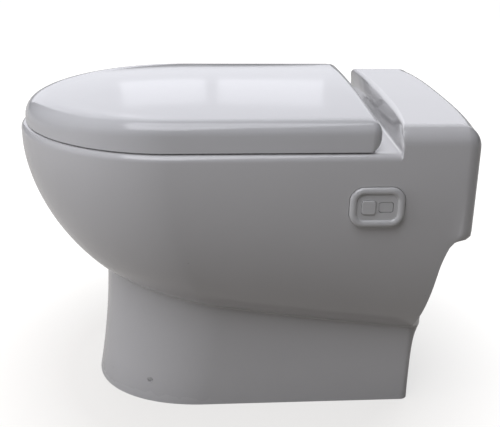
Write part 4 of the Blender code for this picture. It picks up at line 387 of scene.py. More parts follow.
def side_line(rim, neck, foot, turning, column, inset, shoulder, fillet):
    """One column of the body's side from the floor to the shoulder, as even points."""
    (rx, ry), (nx, ny), (fx, fy) = rim, neck, foot
    low = neck_height(ny) + inset
    lower = []
    for step in range(FOOT_ROWS * 2 + 1):
        share = step / (FOOT_ROWS * 2)
        side_flare = (1 - share) ** FLARE_POWER
        flare = side_flare + (1 - share ** REAR_FLARE_POWER - side_flare) * column.rear
        lower.append(Vector((nx + (fx - nx) * side_flare, ny + (fy - ny) * flare, low * share)))
    upper = []
    power = SIDE_POWER + (TIP_POWER - SIDE_POWER) * column.front
    last = SIDE_TURN + (TIP_TURN - SIDE_TURN) * column.front
    high = shoulder - TIP_DROP * column.front
    for step in range(SWELL_ROWS * 2, -1, -1):
        turn = last * step / (SWELL_ROWS * 2)
        down = (math.sin(turn) / math.sin(last)) ** (2 / power)
        inward = (1 - math.cos(turn) ** (2 / power)) / (1 - math.cos(last) ** (2 / power))
        rear = smooth_table(down, REAR_DROPS, REAR_SETBACKS)
        across = inward + (rear - inward) * math.sqrt(column.rear)
        along = inward + (rear - inward) * turning
        upper.append(Vector((rx + (nx - rx) * across, ry + (ny - ry) * along,
                             high + (low - high) * down)))
    lower_run = measured(lower)
    upper_run = measured(upper)
    turn_in = walk(lower, lower_run, lower_run[-1] - fillet)
    turn_out = walk(upper, upper_run, fillet)
    points = [walk(lower, lower_run, place)
              for place in spread(0.0, lower_run[-1] - fillet, FOOT_ROWS)]
    for step in range(FILLET_ROWS):
        t = step / FILLET_ROWS
        points.append(turn_in.lerp(lower[-1], t).lerp(lower[-1].lerp(turn_out, t), t))
    points += [walk(upper, upper_run, place)
               for place in spread(fillet, upper_run[-1], SWELL_ROWS)]
    return points + [upper[-1]]


def side_rings(inset, shoulder, fillet):
    """Rings of the body's side, from the floor to the shoulder."""
    turning = [max(0.0, 1 - (REAR_Y - y) / REAR_TURN) ** 2 for _, y in outline(RIM_PLAN)]
    lines = zip(outline(RIM_PLAN, inset), outline(NECK_PLAN, inset),
                outline(FOOT_PLAN, inset), turning, BODY_COLUMNS)
    made = [side_line(*line, inset, shoulder, fillet) for line in lines]
    return [list(ring) for ring in zip(*made)]


def wall_profile(share, cove, ridge):
    """Setback and height of the deck's front wall at a share of the way up it."""
    if share <= COVE_END:
        turn = QUARTER * share / COVE_END
        return cove * (math.sin(turn) - 1), cove * (1 - math.cos(turn))
    if share <= RIDGE_START:
        up = (share - COVE_END) / (RIDGE_START - COVE_END)
        return 0.0, cove + (DECK_RISE - ridge - cove) * up
    turn = QUARTER * (share - RIDGE_START) / (1 - RIDGE_START)
    return ridge * (1 - math.cos(turn)), DECK_RISE - ridge * (1 - math.sin(turn))


def wall_lean(x, rise):
    """How far back the deck's wall leans at a place across it and a height above the rim."""
    ridge = RIDGE_Y - RIDGE_BOW * (abs(x) / HALF) ** RIDGE_POWER
    return (ridge - DECK_FOOT_Y) * (rise / DECK_RISE) ** 2


def deck_edge(x, column):
    """Rounding of the deck's top edge, largest at the corners and least at the rear."""
    if column.rear < 1:
        return DECK_EDGE + (DECK_CORNER_EDGE - DECK_EDGE) * column.rear
    out = abs(x) / (RIM_PLAN.half - RIM_PLAN.taper - RIM_PLAN.corner)
    return DECK_REAR_EDGE + (DECK_CORNER_EDGE - DECK_REAR_EDGE) * out ** 3


def edge_rings(sizes):
    """Rings of the rounded top edge, low round the rim and high round the deck."""
    plans = {}

    def inset_point(index, inset):
        key = round(inset, 7)
        if key not in plans:
            plans[key] = outline(RIM_PLAN, inset)
        return plans[key][index]

    rings = []
    for step in range(EDGE_ROWS + 1):
        turn = QUARTER * step / EDGE_ROWS
        ring = []
        for index, column in enumerate(BODY_COLUMNS):
            setback, rise = wall_profile(column.wall, sizes.cove, sizes.ridge)
            top_edge = deck_edge(inset_point(index, 0.0)[0], column)
            edge = RIM_EDGE + (top_edge - RIM_EDGE) * (rise / DECK_RISE) ** 3
            x, y = inset_point(index, edge * (1 - math.cos(turn)))
            if 0 < column.wall < 1:
                wall_y = DECK_FOOT_Y + setback + wall_lean(x, rise)
                y += (wall_y - y) * math.sin(turn)
            height = RIM_HEIGHT + rise
            ring.append(Vector((x, y, height - edge * (1 - math.sin(turn)))))
        rings.append(ring)
    return rings


def oval(half, front, back, height):
    """One ring of the bowl, longer in front of the sump than behind it."""
    ring = []
    for step in range(OVAL_STEPS):
        turn = 2 * math.pi * step / OVAL_STEPS
        across = math.sin(turn)
        along = math.cos(turn)
        reach = front if along > 0 else back
        ring.append(Vector((half * math.copysign(abs(across) ** (2 / BOWL_POWER), across),
                            SUMP_BACK - reach * math.copysign(
                                abs(along) ** (2 / BOWL_POWER), along), height)))
    return ring


def bowl_rings(grow, steps):
    """Rings of the bowl from its sump up to the rim, grown by a wall thickness."""
    half = BOWL_HALF + grow
    front = SUMP_BACK - FRONT_Y - BOWL_TIP + grow
    back = BOWL_REAR - SUMP_BACK + grow
    rings = []
    for step in range(steps, 0, -1):
        level = step / steps
        rings.append(oval(half * smooth_table(level, BOWL_LEVELS, BOWL_WIDTHS),
                          front * smooth_table(level, BOWL_LEVELS, BOWL_FRONTS),
                          back * smooth_table(level, BOWL_LEVELS, BOWL_BACKS),
                          RIM_HEIGHT - (BOWL_DEPTH + grow) * level))
    return rings, half, front, back


def deselect():
    """Leave nothing selected, so that an operator acts on what is made next."""
    if bpy.context.object and bpy.context.object.mode != "OBJECT":
        bpy.ops.object.mode_set(mode="OBJECT")
    bpy.ops.object.select_all(action="DESELECT")


def pick(piece):
    """Make one piece the selected and active object."""
    deselect()
    piece.select_set(True)
    bpy.context.view_layer.objects.active = piece


def settle(piece, name):
    """Name a new piece and put its place into its mesh."""
    pick(piece)
    bpy.ops.object.transform_apply(location=True, rotation=True, scale=True)
    piece.name = name
    piece.data.name = name
    return piece


@contextmanager
def editing(piece):
    """Edit a piece with all of it selected, and leave it in object mode."""
    pick(piece)
    bpy.ops.object.mode_set(mode="EDIT")
    bpy.ops.mesh.select_all(action="SELECT")
    yield
    bpy.ops.object.mode_set(mode="OBJECT")


def turn_outwards():
    """Turn all faces of the edited piece outwards."""
    bpy.ops.mesh.select_all(action="SELECT")
    bpy.ops.mesh.normals_make_consistent(inside=False)


def laid_grid(rows):
    """A grid whose points are laid out row by row."""
    deselect()
    bpy.ops.mesh.primitive_grid_add(x_subdivisions=len(rows[0]) - 1,
                                    y_subdivisions=len(rows) - 1, size=1)
    grid = bpy.context.object
    grid.data.vertices.foreach_set("co", [value for row in rows for point in row
                                          for value in point])
    grid.data.update()
    return grid


def rolled_grid(name, rings, capped=True, looped=False):
    """A grid laid over a list of rings, its seams welded and its open ends filled."""
    rows = rings + rings[:1] if looped else rings
    piece = laid_grid([row + row[:1] for row in rows])
    with editing(piece):
        bpy.ops.mesh.remove_doubles(threshold=SEAM_MERGE)
        if capped:
            bpy.ops.mesh.select_all(action="SELECT")
            bpy.ops.mesh.fill_holes(sides=0)
        turn_outwards()
    return settle(piece, name)


def join(first, second):
    """Join the second piece into the first one."""
    pick(first)
    second.select_set(True)
    bpy.ops.object.join()


def weld(piece):
    """Merge the points that joined meshes or loose faces share."""
    with editing(piece):
        bpy.ops.mesh.remove_doubles(threshold=PIECE_MERGE)


def close(piece):
    """Fill every open loop and turn all faces outwards."""
    with editing(piece):
        bpy.ops.mesh.fill_holes(sides=0)
        turn_outwards()


def carve(piece, tool, operation="DIFFERENCE"):
    """Cut a tool out of a piece, or add it, and remove the tool."""
    pick(piece)
    modifier = piece.modifiers.new("carve", "BOOLEAN")
    modifier.object = tool
    modifier.operation = operation
    modifier.solver = "EXACT"
    bpy.ops.object.modifier_apply(modifier=modifier.name)
    bpy.data.objects.remove(tool, do_unlink=True)
    return piece


def round_edges(piece, width, segments=3, angle=40.0):
    """Round a piece's sharp edges."""
    pick(piece)
    modifier = piece.modifiers.new("round", "BEVEL")
    modifier.width = width
    modifier.segments = segments
    modifier.limit_method = "ANGLE"
    modifier.angle_limit = math.radians(angle)
    modifier.use_clamp_overlap = True
    bpy.ops.object.modifier_apply(modifier=modifier.name)
    return piece


def smooth(piece, angle=34.0):
    """Smooth shading with flat faces kept flat."""
    pick(piece)
    bpy.ops.object.shade_smooth_by_angle(angle=math.radians(angle))
    modifier = piece.modifiers.new("weighted", "WEIGHTED_NORMAL")
    modifier.keep_sharp = True
    modifier.weight = 50
    bpy.ops.object.modifier_apply(modifier=modifier.name)
    return piece


def bar(name, radius, start, end, axis, vertices):
    """A round bar between two points on one axis."""
    deselect()
    middle = (Vector(start) + Vector(end)) / 2
    turn = {"X": (0, QUARTER, 0), "Y": (QUARTER, 0, 0), "Z": (0, 0, 0)}[axis]
    bpy.ops.mesh.primitive_cylinder_add(vertices=vertices, radius=radius, rotation=turn,
                                        depth=(Vector(end) - Vector(start)).length,
                                        location=middle)
    return settle(bpy.context.object, name)


def block(name, low, high):
    """A plain block between two corners, as a start or a cutter."""
    deselect()
    size = Vector(high) - Vector(low)
    bpy.ops.mesh.primitive_cube_add(size=1, location=(Vector(low) + Vector(high)) / 2)
    bpy.context.object.scale = size
    return settle(bpy.context.object, name)


def slab(name, axis, middle, size, corner, start, end, steps=8):
    """A rounded rectangle across one axis, extruded along it."""
    deselect()
    turn = {"X": (QUARTER, 0, QUARTER), "Y": (QUARTER, 0, 0), "Z": (0, 0, 0)}[axis]
    index = "XYZ".index(axis)
    place = list(middle)
    place.insert(index, start)
    bpy.ops.mesh.primitive_plane_add(size=1, location=place, rotation=turn)
    piece = bpy.context.object
    piece.scale = (size[0], size[1], 1)
    settle(piece, name)
    move = [0.0, 0.0, 0.0]
    move[index] = end - start
    with editing(piece):
        bpy.ops.mesh.bevel(offset=corner, segments=steps, affect="VERTICES")
        bpy.ops.mesh.select_all(action="SELECT")
        bpy.ops.mesh.extrude_region_move(TRANSFORM_OT_translate={"value": move})
        turn_outwards()
    return piece


def on_hinge(name, radius, across, vertices=48):
    """A round bar on the hinge's axis, from one place across to another."""
    return bar(name, radius, (across[0], HINGE_BACK, HINGE_Z),
               (across[1], HINGE_BACK, HINGE_Z), "X", vertices)


def finish_piece(piece, material, body, slot, *nodes):
    """Give a piece its material and body, and hide the CAD nodes that it stands for."""
    piece.data.materials.clear()
    piece.data.materials.append(material)
    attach(piece, body)
    if nodes:
        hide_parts(*nodes)
    return piece


def new_group(name, sockets_in, sockets_out):
    """A shader node group with named sockets, and its input and output nodes."""
    group = bpy.data.node_groups.new(name, "ShaderNodeTree")
    for label, kind, default in sockets_in:
        socket = group.interface.new_socket(name=label, in_out="INPUT", socket_type=kind)
        if default is not None:
            socket.default_value = default
    for label, kind in sockets_out:
        group.interface.new_socket(name=label, in_out="OUTPUT", socket_type=kind)
    return group, group.nodes.new("NodeGroupInput"), group.nodes.new("NodeGroupOutput")


def node(tree, kind, settings=None, **inputs):
    """Add a node, set its options and its inputs, and link what is given as a socket."""
    made = tree.nodes.new(kind)
    for key, value in (settings or {}).items():
        setattr(made, key, value)
    for key, value in inputs.items():
        target = made.inputs[int(key[1:])] if key[1:].isdigit() else made.inputs[
            key.replace("_", " ")]
        if isinstance(value, bpy.types.NodeSocket):
            tree.links.new(value, target)
        else:
            target.default_value = value
    return made


def end_group(group, end, **outputs):
    """Link each result of a node group to its output, and return the group."""
    for name, made in outputs.items():
        group.links.new(made.outputs[0], end.inputs[name])
    return group


def tinted(colour, share):
    """A colour made lighter or darker by a share, as four numbers."""
    return tuple(min(value * share, 1.0) for value in colour[:3]) + (1.0,)


def build_ripple_group():
    """Slow waves and fine orange peel in a glossy coat, and a faint tone that drifts."""
    group, start, end = new_group(
        "Glossy coat ripple",
        [("Vector", "NodeSocketVector", None), ("Wave size", "NodeSocketFloat", 8.0),
         ("Peel size", "NodeSocketFloat", 260.0), ("Peel share", "NodeSocketFloat", 0.3)],
        [("Height", "NodeSocketFloat"), ("Tone", "NodeSocketFloat")])
    wave = node(group, "ShaderNodeTexNoise", Vector=start.outputs["Vector"],
                Scale=start.outputs["Wave size"], Detail=2.0, Roughness=0.4)
    peel = node(group, "ShaderNodeTexNoise", Vector=start.outputs["Vector"],
                Scale=start.outputs["Peel size"], Detail=1.0, Roughness=0.5)
    mixed = node(group, "ShaderNodeMix", {"data_type": "FLOAT"},
                 _0=start.outputs["Peel share"], _2=wave.outputs[0], _3=peel.outputs[0])
    drift = node(group, "ShaderNodeTexNoise", Vector=start.outputs["Vector"],
                 Scale=3.5, Detail=3.0, Roughness=0.55)
    return end_group(group, end, Height=mixed, Tone=drift)


SPECK_CHANCE = 0.62     # a higher value leaves fewer specks


def build_speck_group():
    """Sparse small specks and pits, as dust leaves in a fired or moulded skin."""
    group, start, end = new_group(
        "Sparse specks",
        [("Vector", "NodeSocketVector", None), ("Scale", "NodeSocketFloat", 90.0),
         ("Size", "NodeSocketFloat", 0.06)],
        [("Mask", "NodeSocketFloat")])
    cells = node(group, "ShaderNodeTexVoronoi", Vector=start.outputs["Vector"],
                 Scale=start.outputs["Scale"])
    near = node(group, "ShaderNodeMath", {"operation": "LESS_THAN"},
                _0=cells.outputs["Distance"], _1=start.outputs["Size"])
    chance = node(group, "ShaderNodeTexNoise", Vector=start.outputs["Vector"], Scale=31.0)
    rare = node(group, "ShaderNodeMath", {"operation": "GREATER_THAN"},
                _0=chance.outputs[0], _1=SPECK_CHANCE)
    mask = node(group, "ShaderNodeMath", {"operation": "MULTIPLY"},
                _0=near.outputs[0], _1=rare.outputs[0])
    return end_group(group, end, Mask=mask)


def build_floor_dust_group():
    """Dust that gathers near the floor, thinning out with height."""
    group, start, end = new_group(
        "Dust near the floor",
        [("Vector", "NodeSocketVector", None), ("Reach", "NodeSocketFloat", 0.05)],
        [("Mask", "NodeSocketFloat")])
    parts = node(group, "ShaderNodeSeparateXYZ", Vector=start.outputs["Vector"])
    cloud = node(group, "ShaderNodeTexNoise", Vector=start.outputs["Vector"],
                 Scale=22.0, Detail=5.0, Roughness=0.65)
    lift = node(group, "ShaderNodeMath", {"operation": "MULTIPLY_ADD"},
                _0=cloud.outputs[0], _1=-0.03, _2=parts.outputs["Z"])
    thin = node(group, "ShaderNodeMapRange", {"interpolation_type": "SMOOTHSTEP"},
                Value=lift.outputs[0], From_Min=-0.02, From_Max=start.outputs["Reach"],
                To_Min=1.0, To_Max=0.0)
    return end_group(group, end, Mask=thin)


def build_grain_group():
    """Fine spark grain of a moulded or cast surface."""
    group, start, end = new_group(
        "Moulded grain",
        [("Vector", "NodeSocketVector", None), ("Scale", "NodeSocketFloat", 900.0)],
        [("Height", "NodeSocketFloat"), ("Tone", "NodeSocketFloat")])
    grain = node(group, "ShaderNodeTexNoise", Vector=start.outputs["Vector"],
                 Scale=start.outputs["Scale"], Detail=2.0, Roughness=0.6)
    drift = node(group, "ShaderNodeTexNoise", Vector=start.outputs["Vector"],
                 Scale=14.0, Detail=4.0, Roughness=0.6)
    return end_group(group, end, Height=grain, Tone=drift)


def build_brushed_group():
    """Long scratches of turned or brushed metal, stretched along one way."""
    group, start, end = new_group(
        "Brushed metal",
        [("Vector", "NodeSocketVector", None), ("Stretch", "NodeSocketVector", (1, 1, 1))],
        [("Height", "NodeSocketFloat"), ("Tone", "NodeSocketFloat")])
    turned = node(group, "ShaderNodeVectorMath", {"operation": "MULTIPLY"},
                  _0=start.outputs["Vector"], _1=start.outputs["Stretch"])
    lines = node(group, "ShaderNodeTexNoise", Vector=turned.outputs[0], Scale=60.0,
                 Detail=4.0, Roughness=0.7)
    drift = node(group, "ShaderNodeTexNoise", Vector=start.outputs["Vector"],
                 Scale=30.0, Detail=3.0, Roughness=0.6)
    return end_group(group, end, Height=lines, Tone=drift)


GROUP_BUILDERS = {
    "ripple": build_ripple_group, "specks": build_speck_group,
    "dust": build_floor_dust_group, "grain": build_grain_group,
    "brushed": build_brushed_group,
}
GROUPS = {}
MATERIALS = {}


def grouped(tree, key, vector, **inputs):
    """Place a shared node group in a material, with its own values."""
    if key not in GROUPS:
        GROUPS[key] = GROUP_BUILDERS[key]()
    made = tree.nodes.new("ShaderNodeGroup")
    made.node_tree = GROUPS[key]
    tree.links.new(vector, made.inputs["Vector"])
    for name, value in inputs.items():
        made.inputs[name.replace("_", " ")].default_value = value
    return made


def start_material(name):
    """A material with its shader, its tree and its Object coordinates."""
    material = bpy.data.materials.new(name)
    material.use_nodes = True
    tree = material.node_tree
    shader = tree.nodes["Principled BSDF"]
    coordinates = tree.nodes.new("ShaderNodeTexCoord").outputs["Object"]
    return material, tree, shader, coordinates


def blend_colour(tree, share, first, second):
    """A colour between two, by a socket's share."""
    mixed = node(tree, "ShaderNodeMix", {"data_type": "RGBA"}, _0=share)
    for index, value in ((6, first), (7, second)):
        if isinstance(value, bpy.types.NodeSocket):
            tree.links.new(value, mixed.inputs[index])
        else:
            mixed.inputs[index].default_value = value
    return mixed.outputs[2]


def ranged(tree, value, low, high, new_low, new_high):
    """A value stretched from one range to another and kept inside it."""
    return node(tree, "ShaderNodeMapRange", Value=value, From_Min=low, From_Max=high,
                To_Min=new_low, To_Max=new_high).outputs[0]


def drifting(tree, tone, low=0.0, high=1.0):
    """A drifting tone, stretched over a range."""
    return ranged(tree, tone, 0.3, 0.7, low, high)


def bump(tree, shader, height, strength, distance):
    """Feed a height into the shader's normal."""
    made = node(tree, "ShaderNodeBump", Strength=strength, Distance=distance, Height=height)
    tree.links.new(made.outputs[0], shader.inputs["Normal"])


def glazed_material(name, colour):
    """Fired white glaze over clay, with slow waves, specks and dust near the floor."""
    material, tree, shader, place = start_material(name)
    ripple = grouped(tree, "ripple", place, Wave_size=9.0, Peel_size=210.0, Peel_share=0.12)
    tone = drifting(tree, ripple.outputs["Tone"])
    base = blend_colour(tree, tone, tinted(colour, 0.97), tinted(colour, 1.02))
    specks = grouped(tree, "specks", place, Scale=70.0, Size=0.05)
    base = blend_colour(tree, specks.outputs["Mask"], base, tinted(colour, 0.80))
    dust = grouped(tree, "dust", place, Reach=0.035)
    weak = node(tree, "ShaderNodeMath", {"operation": "MULTIPLY"},
                _0=dust.outputs["Mask"], _1=0.35)
    base = blend_colour(tree, weak.outputs[0], base, tinted(colour, 0.78))
    tree.links.new(base, shader.inputs["Base Color"])
    rough = node(tree, "ShaderNodeMath", {"operation": "MULTIPLY_ADD"},
                 _0=dust.outputs["Mask"], _1=0.16,
                 _2=drifting(tree, ripple.outputs["Tone"], 0.10, 0.15))
    tree.links.new(rough.outputs[0], shader.inputs["Roughness"])
    shader.inputs["IOR"].default_value = 1.52
    shader.inputs["Coat Weight"].default_value = 0.35
    shader.inputs["Coat Roughness"].default_value = 0.04
    bump(tree, shader, ripple.outputs["Height"], 0.35, 0.0006)
    return material


def glossy_plastic_material(name, colour, roughness=0.12, peel=0.1, coat=0.25):
    """Polished moulded plastic with a faint flow in its gloss."""
    material, tree, shader, place = start_material(name)
    ripple = grouped(tree, "ripple", place, Wave_size=7.0, Peel_size=320.0, Peel_share=peel)
    tone = drifting(tree, ripple.outputs["Tone"])
    base = blend_colour(tree, tone, tinted(colour, 0.98), tinted(colour, 1.015))
    specks = grouped(tree, "specks", place, Scale=120.0, Size=0.035)
    base = blend_colour(tree, specks.outputs["Mask"], base, tinted(colour, 0.9))
    tree.links.new(base, shader.inputs["Base Color"])
    tree.links.new(drifting(tree, ripple.outputs["Tone"], roughness * 0.8, roughness * 1.3),
                   shader.inputs["Roughness"])
    shader.inputs["IOR"].default_value = 1.49
    shader.inputs["Coat Weight"].default_value = coat
    shader.inputs["Coat Roughness"].default_value = 0.05
    bump(tree, shader, ripple.outputs["Height"], 0.25, 0.0004)
    return material


def moulded_material(name, colour, roughness, scale=800.0, depth=0.00012, dusty=0.25):
    """Grained moulded plastic or rubber, duller and dustier near the floor."""
    material, tree, shader, place = start_material(name)
    grain = grouped(tree, "grain", place, Scale=scale)
    tone = drifting(tree, grain.outputs["Tone"])
    base = blend_colour(tree, tone, tinted(colour, 0.88), tinted(colour, 1.1))
    dust = grouped(tree, "dust", place, Reach=0.10)
    weak = node(tree, "ShaderNodeMath", {"operation": "MULTIPLY"},
                _0=dust.outputs["Mask"], _1=dusty)
    base = blend_colour(tree, weak.outputs[0], base, (0.42, 0.40, 0.37, 1.0))
    tree.links.new(base, shader.inputs["Base Color"])
    tree.links.new(drifting(tree, grain.outputs["Tone"], roughness * 0.85, roughness * 1.15),
                   shader.inputs["Roughness"])
    bump(tree, shader, grain.outputs["Height"], 0.5, depth)
    return material


def metal_material(name, colour, roughness, stretch=(1.0, 1.0, 14.0), tarnish=0.85):
    """Turned, drawn or plated metal with fine lines and a drifting tarnish."""
    material, tree, shader, place = start_material(name)
    lines = grouped(tree, "brushed", place, Stretch=stretch)
    tone = drifting(tree, lines.outputs["Tone"])
    base = blend_colour(tree, tone, tinted(colour, tarnish), tinted(colour, 1.04))
    tree.links.new(base, shader.inputs["Base Color"])
    tree.links.new(ranged(tree, lines.outputs["Height"], 0.25, 0.75, roughness * 0.75,
                          roughness * 1.3), shader.inputs["Roughness"])
    shader.inputs["Metallic"].default_value = 1.0
    bump(tree, shader, lines.outputs["Height"], 0.3, 0.0001)
    return material


def board_material(name):
    """Green circuit board with paler tracks and bright pads."""
    material, tree, shader, place = start_material(name)
    tracks = node(tree, "ShaderNodeTexBrick", {"offset": 0.35},
                  Vector=node(tree, "ShaderNodeMapping", Vector=place,
                              Rotation=(0.0, QUARTER, 0.0)).outputs[0],
                  Scale=90.0, Mortar_Size=0.06, Color1=(0.03, 0.17, 0.07, 1),
                  Color2=(0.04, 0.20, 0.09, 1), Mortar=(0.10, 0.36, 0.16, 1))
    pads = grouped(tree, "specks", place, Scale=300.0, Size=0.28)
    base = blend_colour(tree, pads.outputs["Mask"], tracks.outputs[0], (0.78, 0.74, 0.60, 1))
    tree.links.new(base, shader.inputs["Base Color"])
    tree.links.new(ranged(tree, pads.outputs["Mask"], 0.0, 1.0, 0.42, 0.25),
                   shader.inputs["Roughness"])
    bump(tree, shader, tracks.outputs["Fac"], 0.4, 0.0001)
    return material


GLOSSY_FLOOR = 0.4              # how much of the floor's white the glaze reflects
PAINTED_SHADE_REACH = (0.22, 0.47)      # where the painted shade round the object, a dimmer glow of the floor, starts and ends
# the floor's glow at the inner edge of the painted shade, against 1.0 further out
PAINTED_SHADE_GLOW = 0.68


def floor_material(colour):
    """Pale studio floor that reads white to the camera away from the object, with a painted
    shade round it where its glow is lower.
    """
    material, tree, shader, place = start_material("studio_floor")
    cloud = node(tree, "ShaderNodeTexNoise", Vector=place, Scale=1.5, Detail=2.0)
    tone = drifting(tree, cloud.outputs[0])
    base = blend_colour(tree, tone, tinted(colour, 0.985), tinted(colour, 1.01))
    tree.links.new(base, shader.inputs["Base Color"])
    shader.inputs["Roughness"].default_value = 0.7
    shader.inputs["Specular IOR Level"].default_value = 0.2
    # painted shade: the floor's glow to camera, glossy and transmission rays is lower near the
    # object, rising to full white further out
    away = node(tree, "ShaderNodeVectorMath", {"operation": "LENGTH"}, _0=place)
    lift = ranged(tree, away.outputs["Value"], *PAINTED_SHADE_REACH, PAINTED_SHADE_GLOW, 1.0)
    rays = tree.nodes.new("ShaderNodeLightPath")
    shiny = node(tree, "ShaderNodeMath", {"operation": "MAXIMUM"},
                 _0=rays.outputs["Is Glossy Ray"], _1=rays.outputs["Is Transmission Ray"])
    direct = node(tree, "ShaderNodeMath", {"operation": "MULTIPLY_ADD"},
                  _0=shiny.outputs[0], _1=GLOSSY_FLOOR, _2=rays.outputs["Is Camera Ray"])
    seen = node(tree, "ShaderNodeMath", {"operation": "MULTIPLY"},
                _0=direct.outputs[0], _1=lift)
    shader.inputs["Emission Color"].default_value = (1.0, 1.0, 1.0, 1.0)
    tree.links.new(seen.outputs[0], shader.inputs["Emission Strength"])
    return material


def make_materials(finishes):
    """Every finish of the object, by its name."""
    MATERIALS.update({
        "glaze": glazed_material("glaze", finishes.glaze),
        "seat_plastic": glossy_plastic_material("seat_plastic", finishes.plastic),
        "pad_plastic": glossy_plastic_material("pad_plastic", finishes.pad, 0.22, 0.3, 0.1),
        "buffer_rubber": moulded_material("buffer_rubber", (0.62, 0.63, 0.63), 0.6),
        "dark_rubber": moulded_material("dark_rubber", (0.045, 0.045, 0.047), 0.7, 500.0),
        "grey_plastic": moulded_material("grey_plastic", (0.30, 0.31, 0.32), 0.5),
        "black_plastic": moulded_material("black_plastic", (0.035, 0.035, 0.038), 0.45),
        "white_plastic": moulded_material("white_plastic", (0.70, 0.70, 0.68), 0.42, 600.0,
                                          0.00008, 0.2),
        "green_board": board_material("green_board"),
        "bright_steel": metal_material("bright_steel", (0.60, 0.60, 0.61), 0.26),
        "zinc_steel": metal_material("zinc_steel", (0.58, 0.59, 0.58), 0.38,
                                     (3.0, 3.0, 6.0), 0.75),
        "brass_fitting": metal_material("brass_fitting", (0.70, 0.52, 0.25), 0.28),
        "floor": floor_material(finishes.floor),
    })
    return MATERIALS


def stuff(name):
    """A finished material by its name."""
    if not MATERIALS:
        make_materials(bpy.context.scene.toilet_finishes)
    return MATERIALS[name]


def body_blank(sizes):
    """The body's outer skin: side, rounded edge, rim, deck and the wall between them."""
    rings = side_rings(0.0, RIM_HEIGHT - SHOULDER_DROP, sizes.neck_fillet)
    edges = edge_rings(sizes)
    skin = rolled_grid("glazed_body", rings + edges, capped=False)
    top = edges[-1]
    count = len(top)
    rows = []
    for step in range(WALL_STEPS + 1):
        right = top[WALL_START + step]
        left = top[count - WALL_START - step]
        setback, rise = wall_profile(step / WALL_STEPS, sizes.cove, sizes.ridge)
        row = [right]
        for across in range(1, ACROSS_STEPS):
            x = right.x * math.cos(math.pi * across / ACROSS_STEPS)
            row.append(Vector((x, DECK_FOOT_Y + setback + wall_lean(x, rise),
                               RIM_HEIGHT + rise)))
        rows.append(row + [left])
    join(skin, settle(laid_grid(rows), "deck_wall"))
    weld(skin)
    close(skin)
    return skin


def bay_tool():
    """What is hollow under the rim: the foot's inside, less the bowl's shell and horn."""
    rings = side_rings(CLAY, RIM_HEIGHT - SLAB - OVERRUN, BAY_FILLET)
    rings[0] = [Vector((p.x, p.y, -OVERRUN)) for p in rings[0]]
    rings.append([Vector((p.x, p.y, RIM_HEIGHT - SLAB)) for p in rings[-1]])
    bay = rolled_grid("bay_tool", rings)
    rings, half, front, back = bowl_rings(CLAY, SHELL_ROWS)
    rings.append(oval(half, front, back, RIM_HEIGHT - SLAB))
    rings.append(oval(half, front, back, RIM_HEIGHT + OVERRUN))
    carve(bay, rolled_grid("bowl_guide", rings))
    horn = bar("horn_guide", OUTLET_RADIUS + HORN_WALL, (0, SUMP_BACK, OUTLET_HEIGHT),
               (0, OUTLET_END, OUTLET_HEIGHT), "Y", 64)
    return carve(bay, horn)


def bowl_tool(lip):
    """The inside of the bowl, rolling over into the rim at its lip."""
    rings, half, front, back = bowl_rings(0.0, BOWL_ROWS)
    for step in range(LIP_ROWS + 1):
        turn = QUARTER * step / LIP_ROWS
        grow = lip * (1 - math.cos(turn))
        rings.append(oval(half + grow, front + grow, back + grow,
                          RIM_HEIGHT - lip + lip * math.sin(turn)))
    rings.append(oval(half + lip, front + lip, back + lip, RIM_HEIGHT + OVERRUN))
    return rolled_grid("bowl_tool", rings)


def foot_half_width(y, z):
    """Half width of the foot at a place along it and a height."""
    neck = outline(NECK_PLAN)
    foot = outline(FOOT_PLAN)
    best = min(range(NOSE_STEPS + BEFORE_STEPS), key=lambda i: abs(foot[i][1] - y))
    flare = (1 - z / neck_height(neck[best][1])) ** FLARE_POWER
    return neck[best][0] + (foot[best][0] - neck[best][0]) * flare


def small_openings():
    """Holes for the hinge studs, the spray nozzle and the side screws with their caps."""
    tools = []
    for sign in (-1, 1):
        x = sign * HINGE_HALF
        tools.append(bar("stud_tool", STUD_HOLE, (x, HINGE_BACK, RIM_HEIGHT - SLAB - OVERRUN),
                         (x, HINGE_BACK, RIM_HEIGHT + OVERRUN), "Z", 32))
        floor = foot_half_width(SCREW_Y, SCREW_Z) - SCREW_SINK
        tools.append(bar("screw_tool", SCREW_HOLE, (sign * (floor - CLAY - OVERRUN), SCREW_Y,
                         SCREW_Z), (sign * floor, SCREW_Y, SCREW_Z), "X", 24))
        tools.append(bar("cap_tool", CAP_HOLE, (sign * (floor - GAP), SCREW_Y, SCREW_Z),
                         (sign * (floor + SCREW_SINK + OVERRUN), SCREW_Y, SCREW_Z), "X", 32))
    tools.append(bar("nozzle_tool", NOZZLE_HOLE, (0, BOWL_REAR - CLAY - OVERRUN, NOZZLE_Z),
                     (0, BOWL_REAR + CLAY + OVERRUN, NOZZLE_Z), "Y", 32))
    return tools


def spigot_size():
    """Width and height of the panel's spigot, which holds both pads' stems."""
    wall = 2 * (GAP + SPIGOT_WALL)
    return FULL_PAD[0] + PAD_SPLIT + HALF_PAD[0] + wall, FULL_PAD[1] + wall


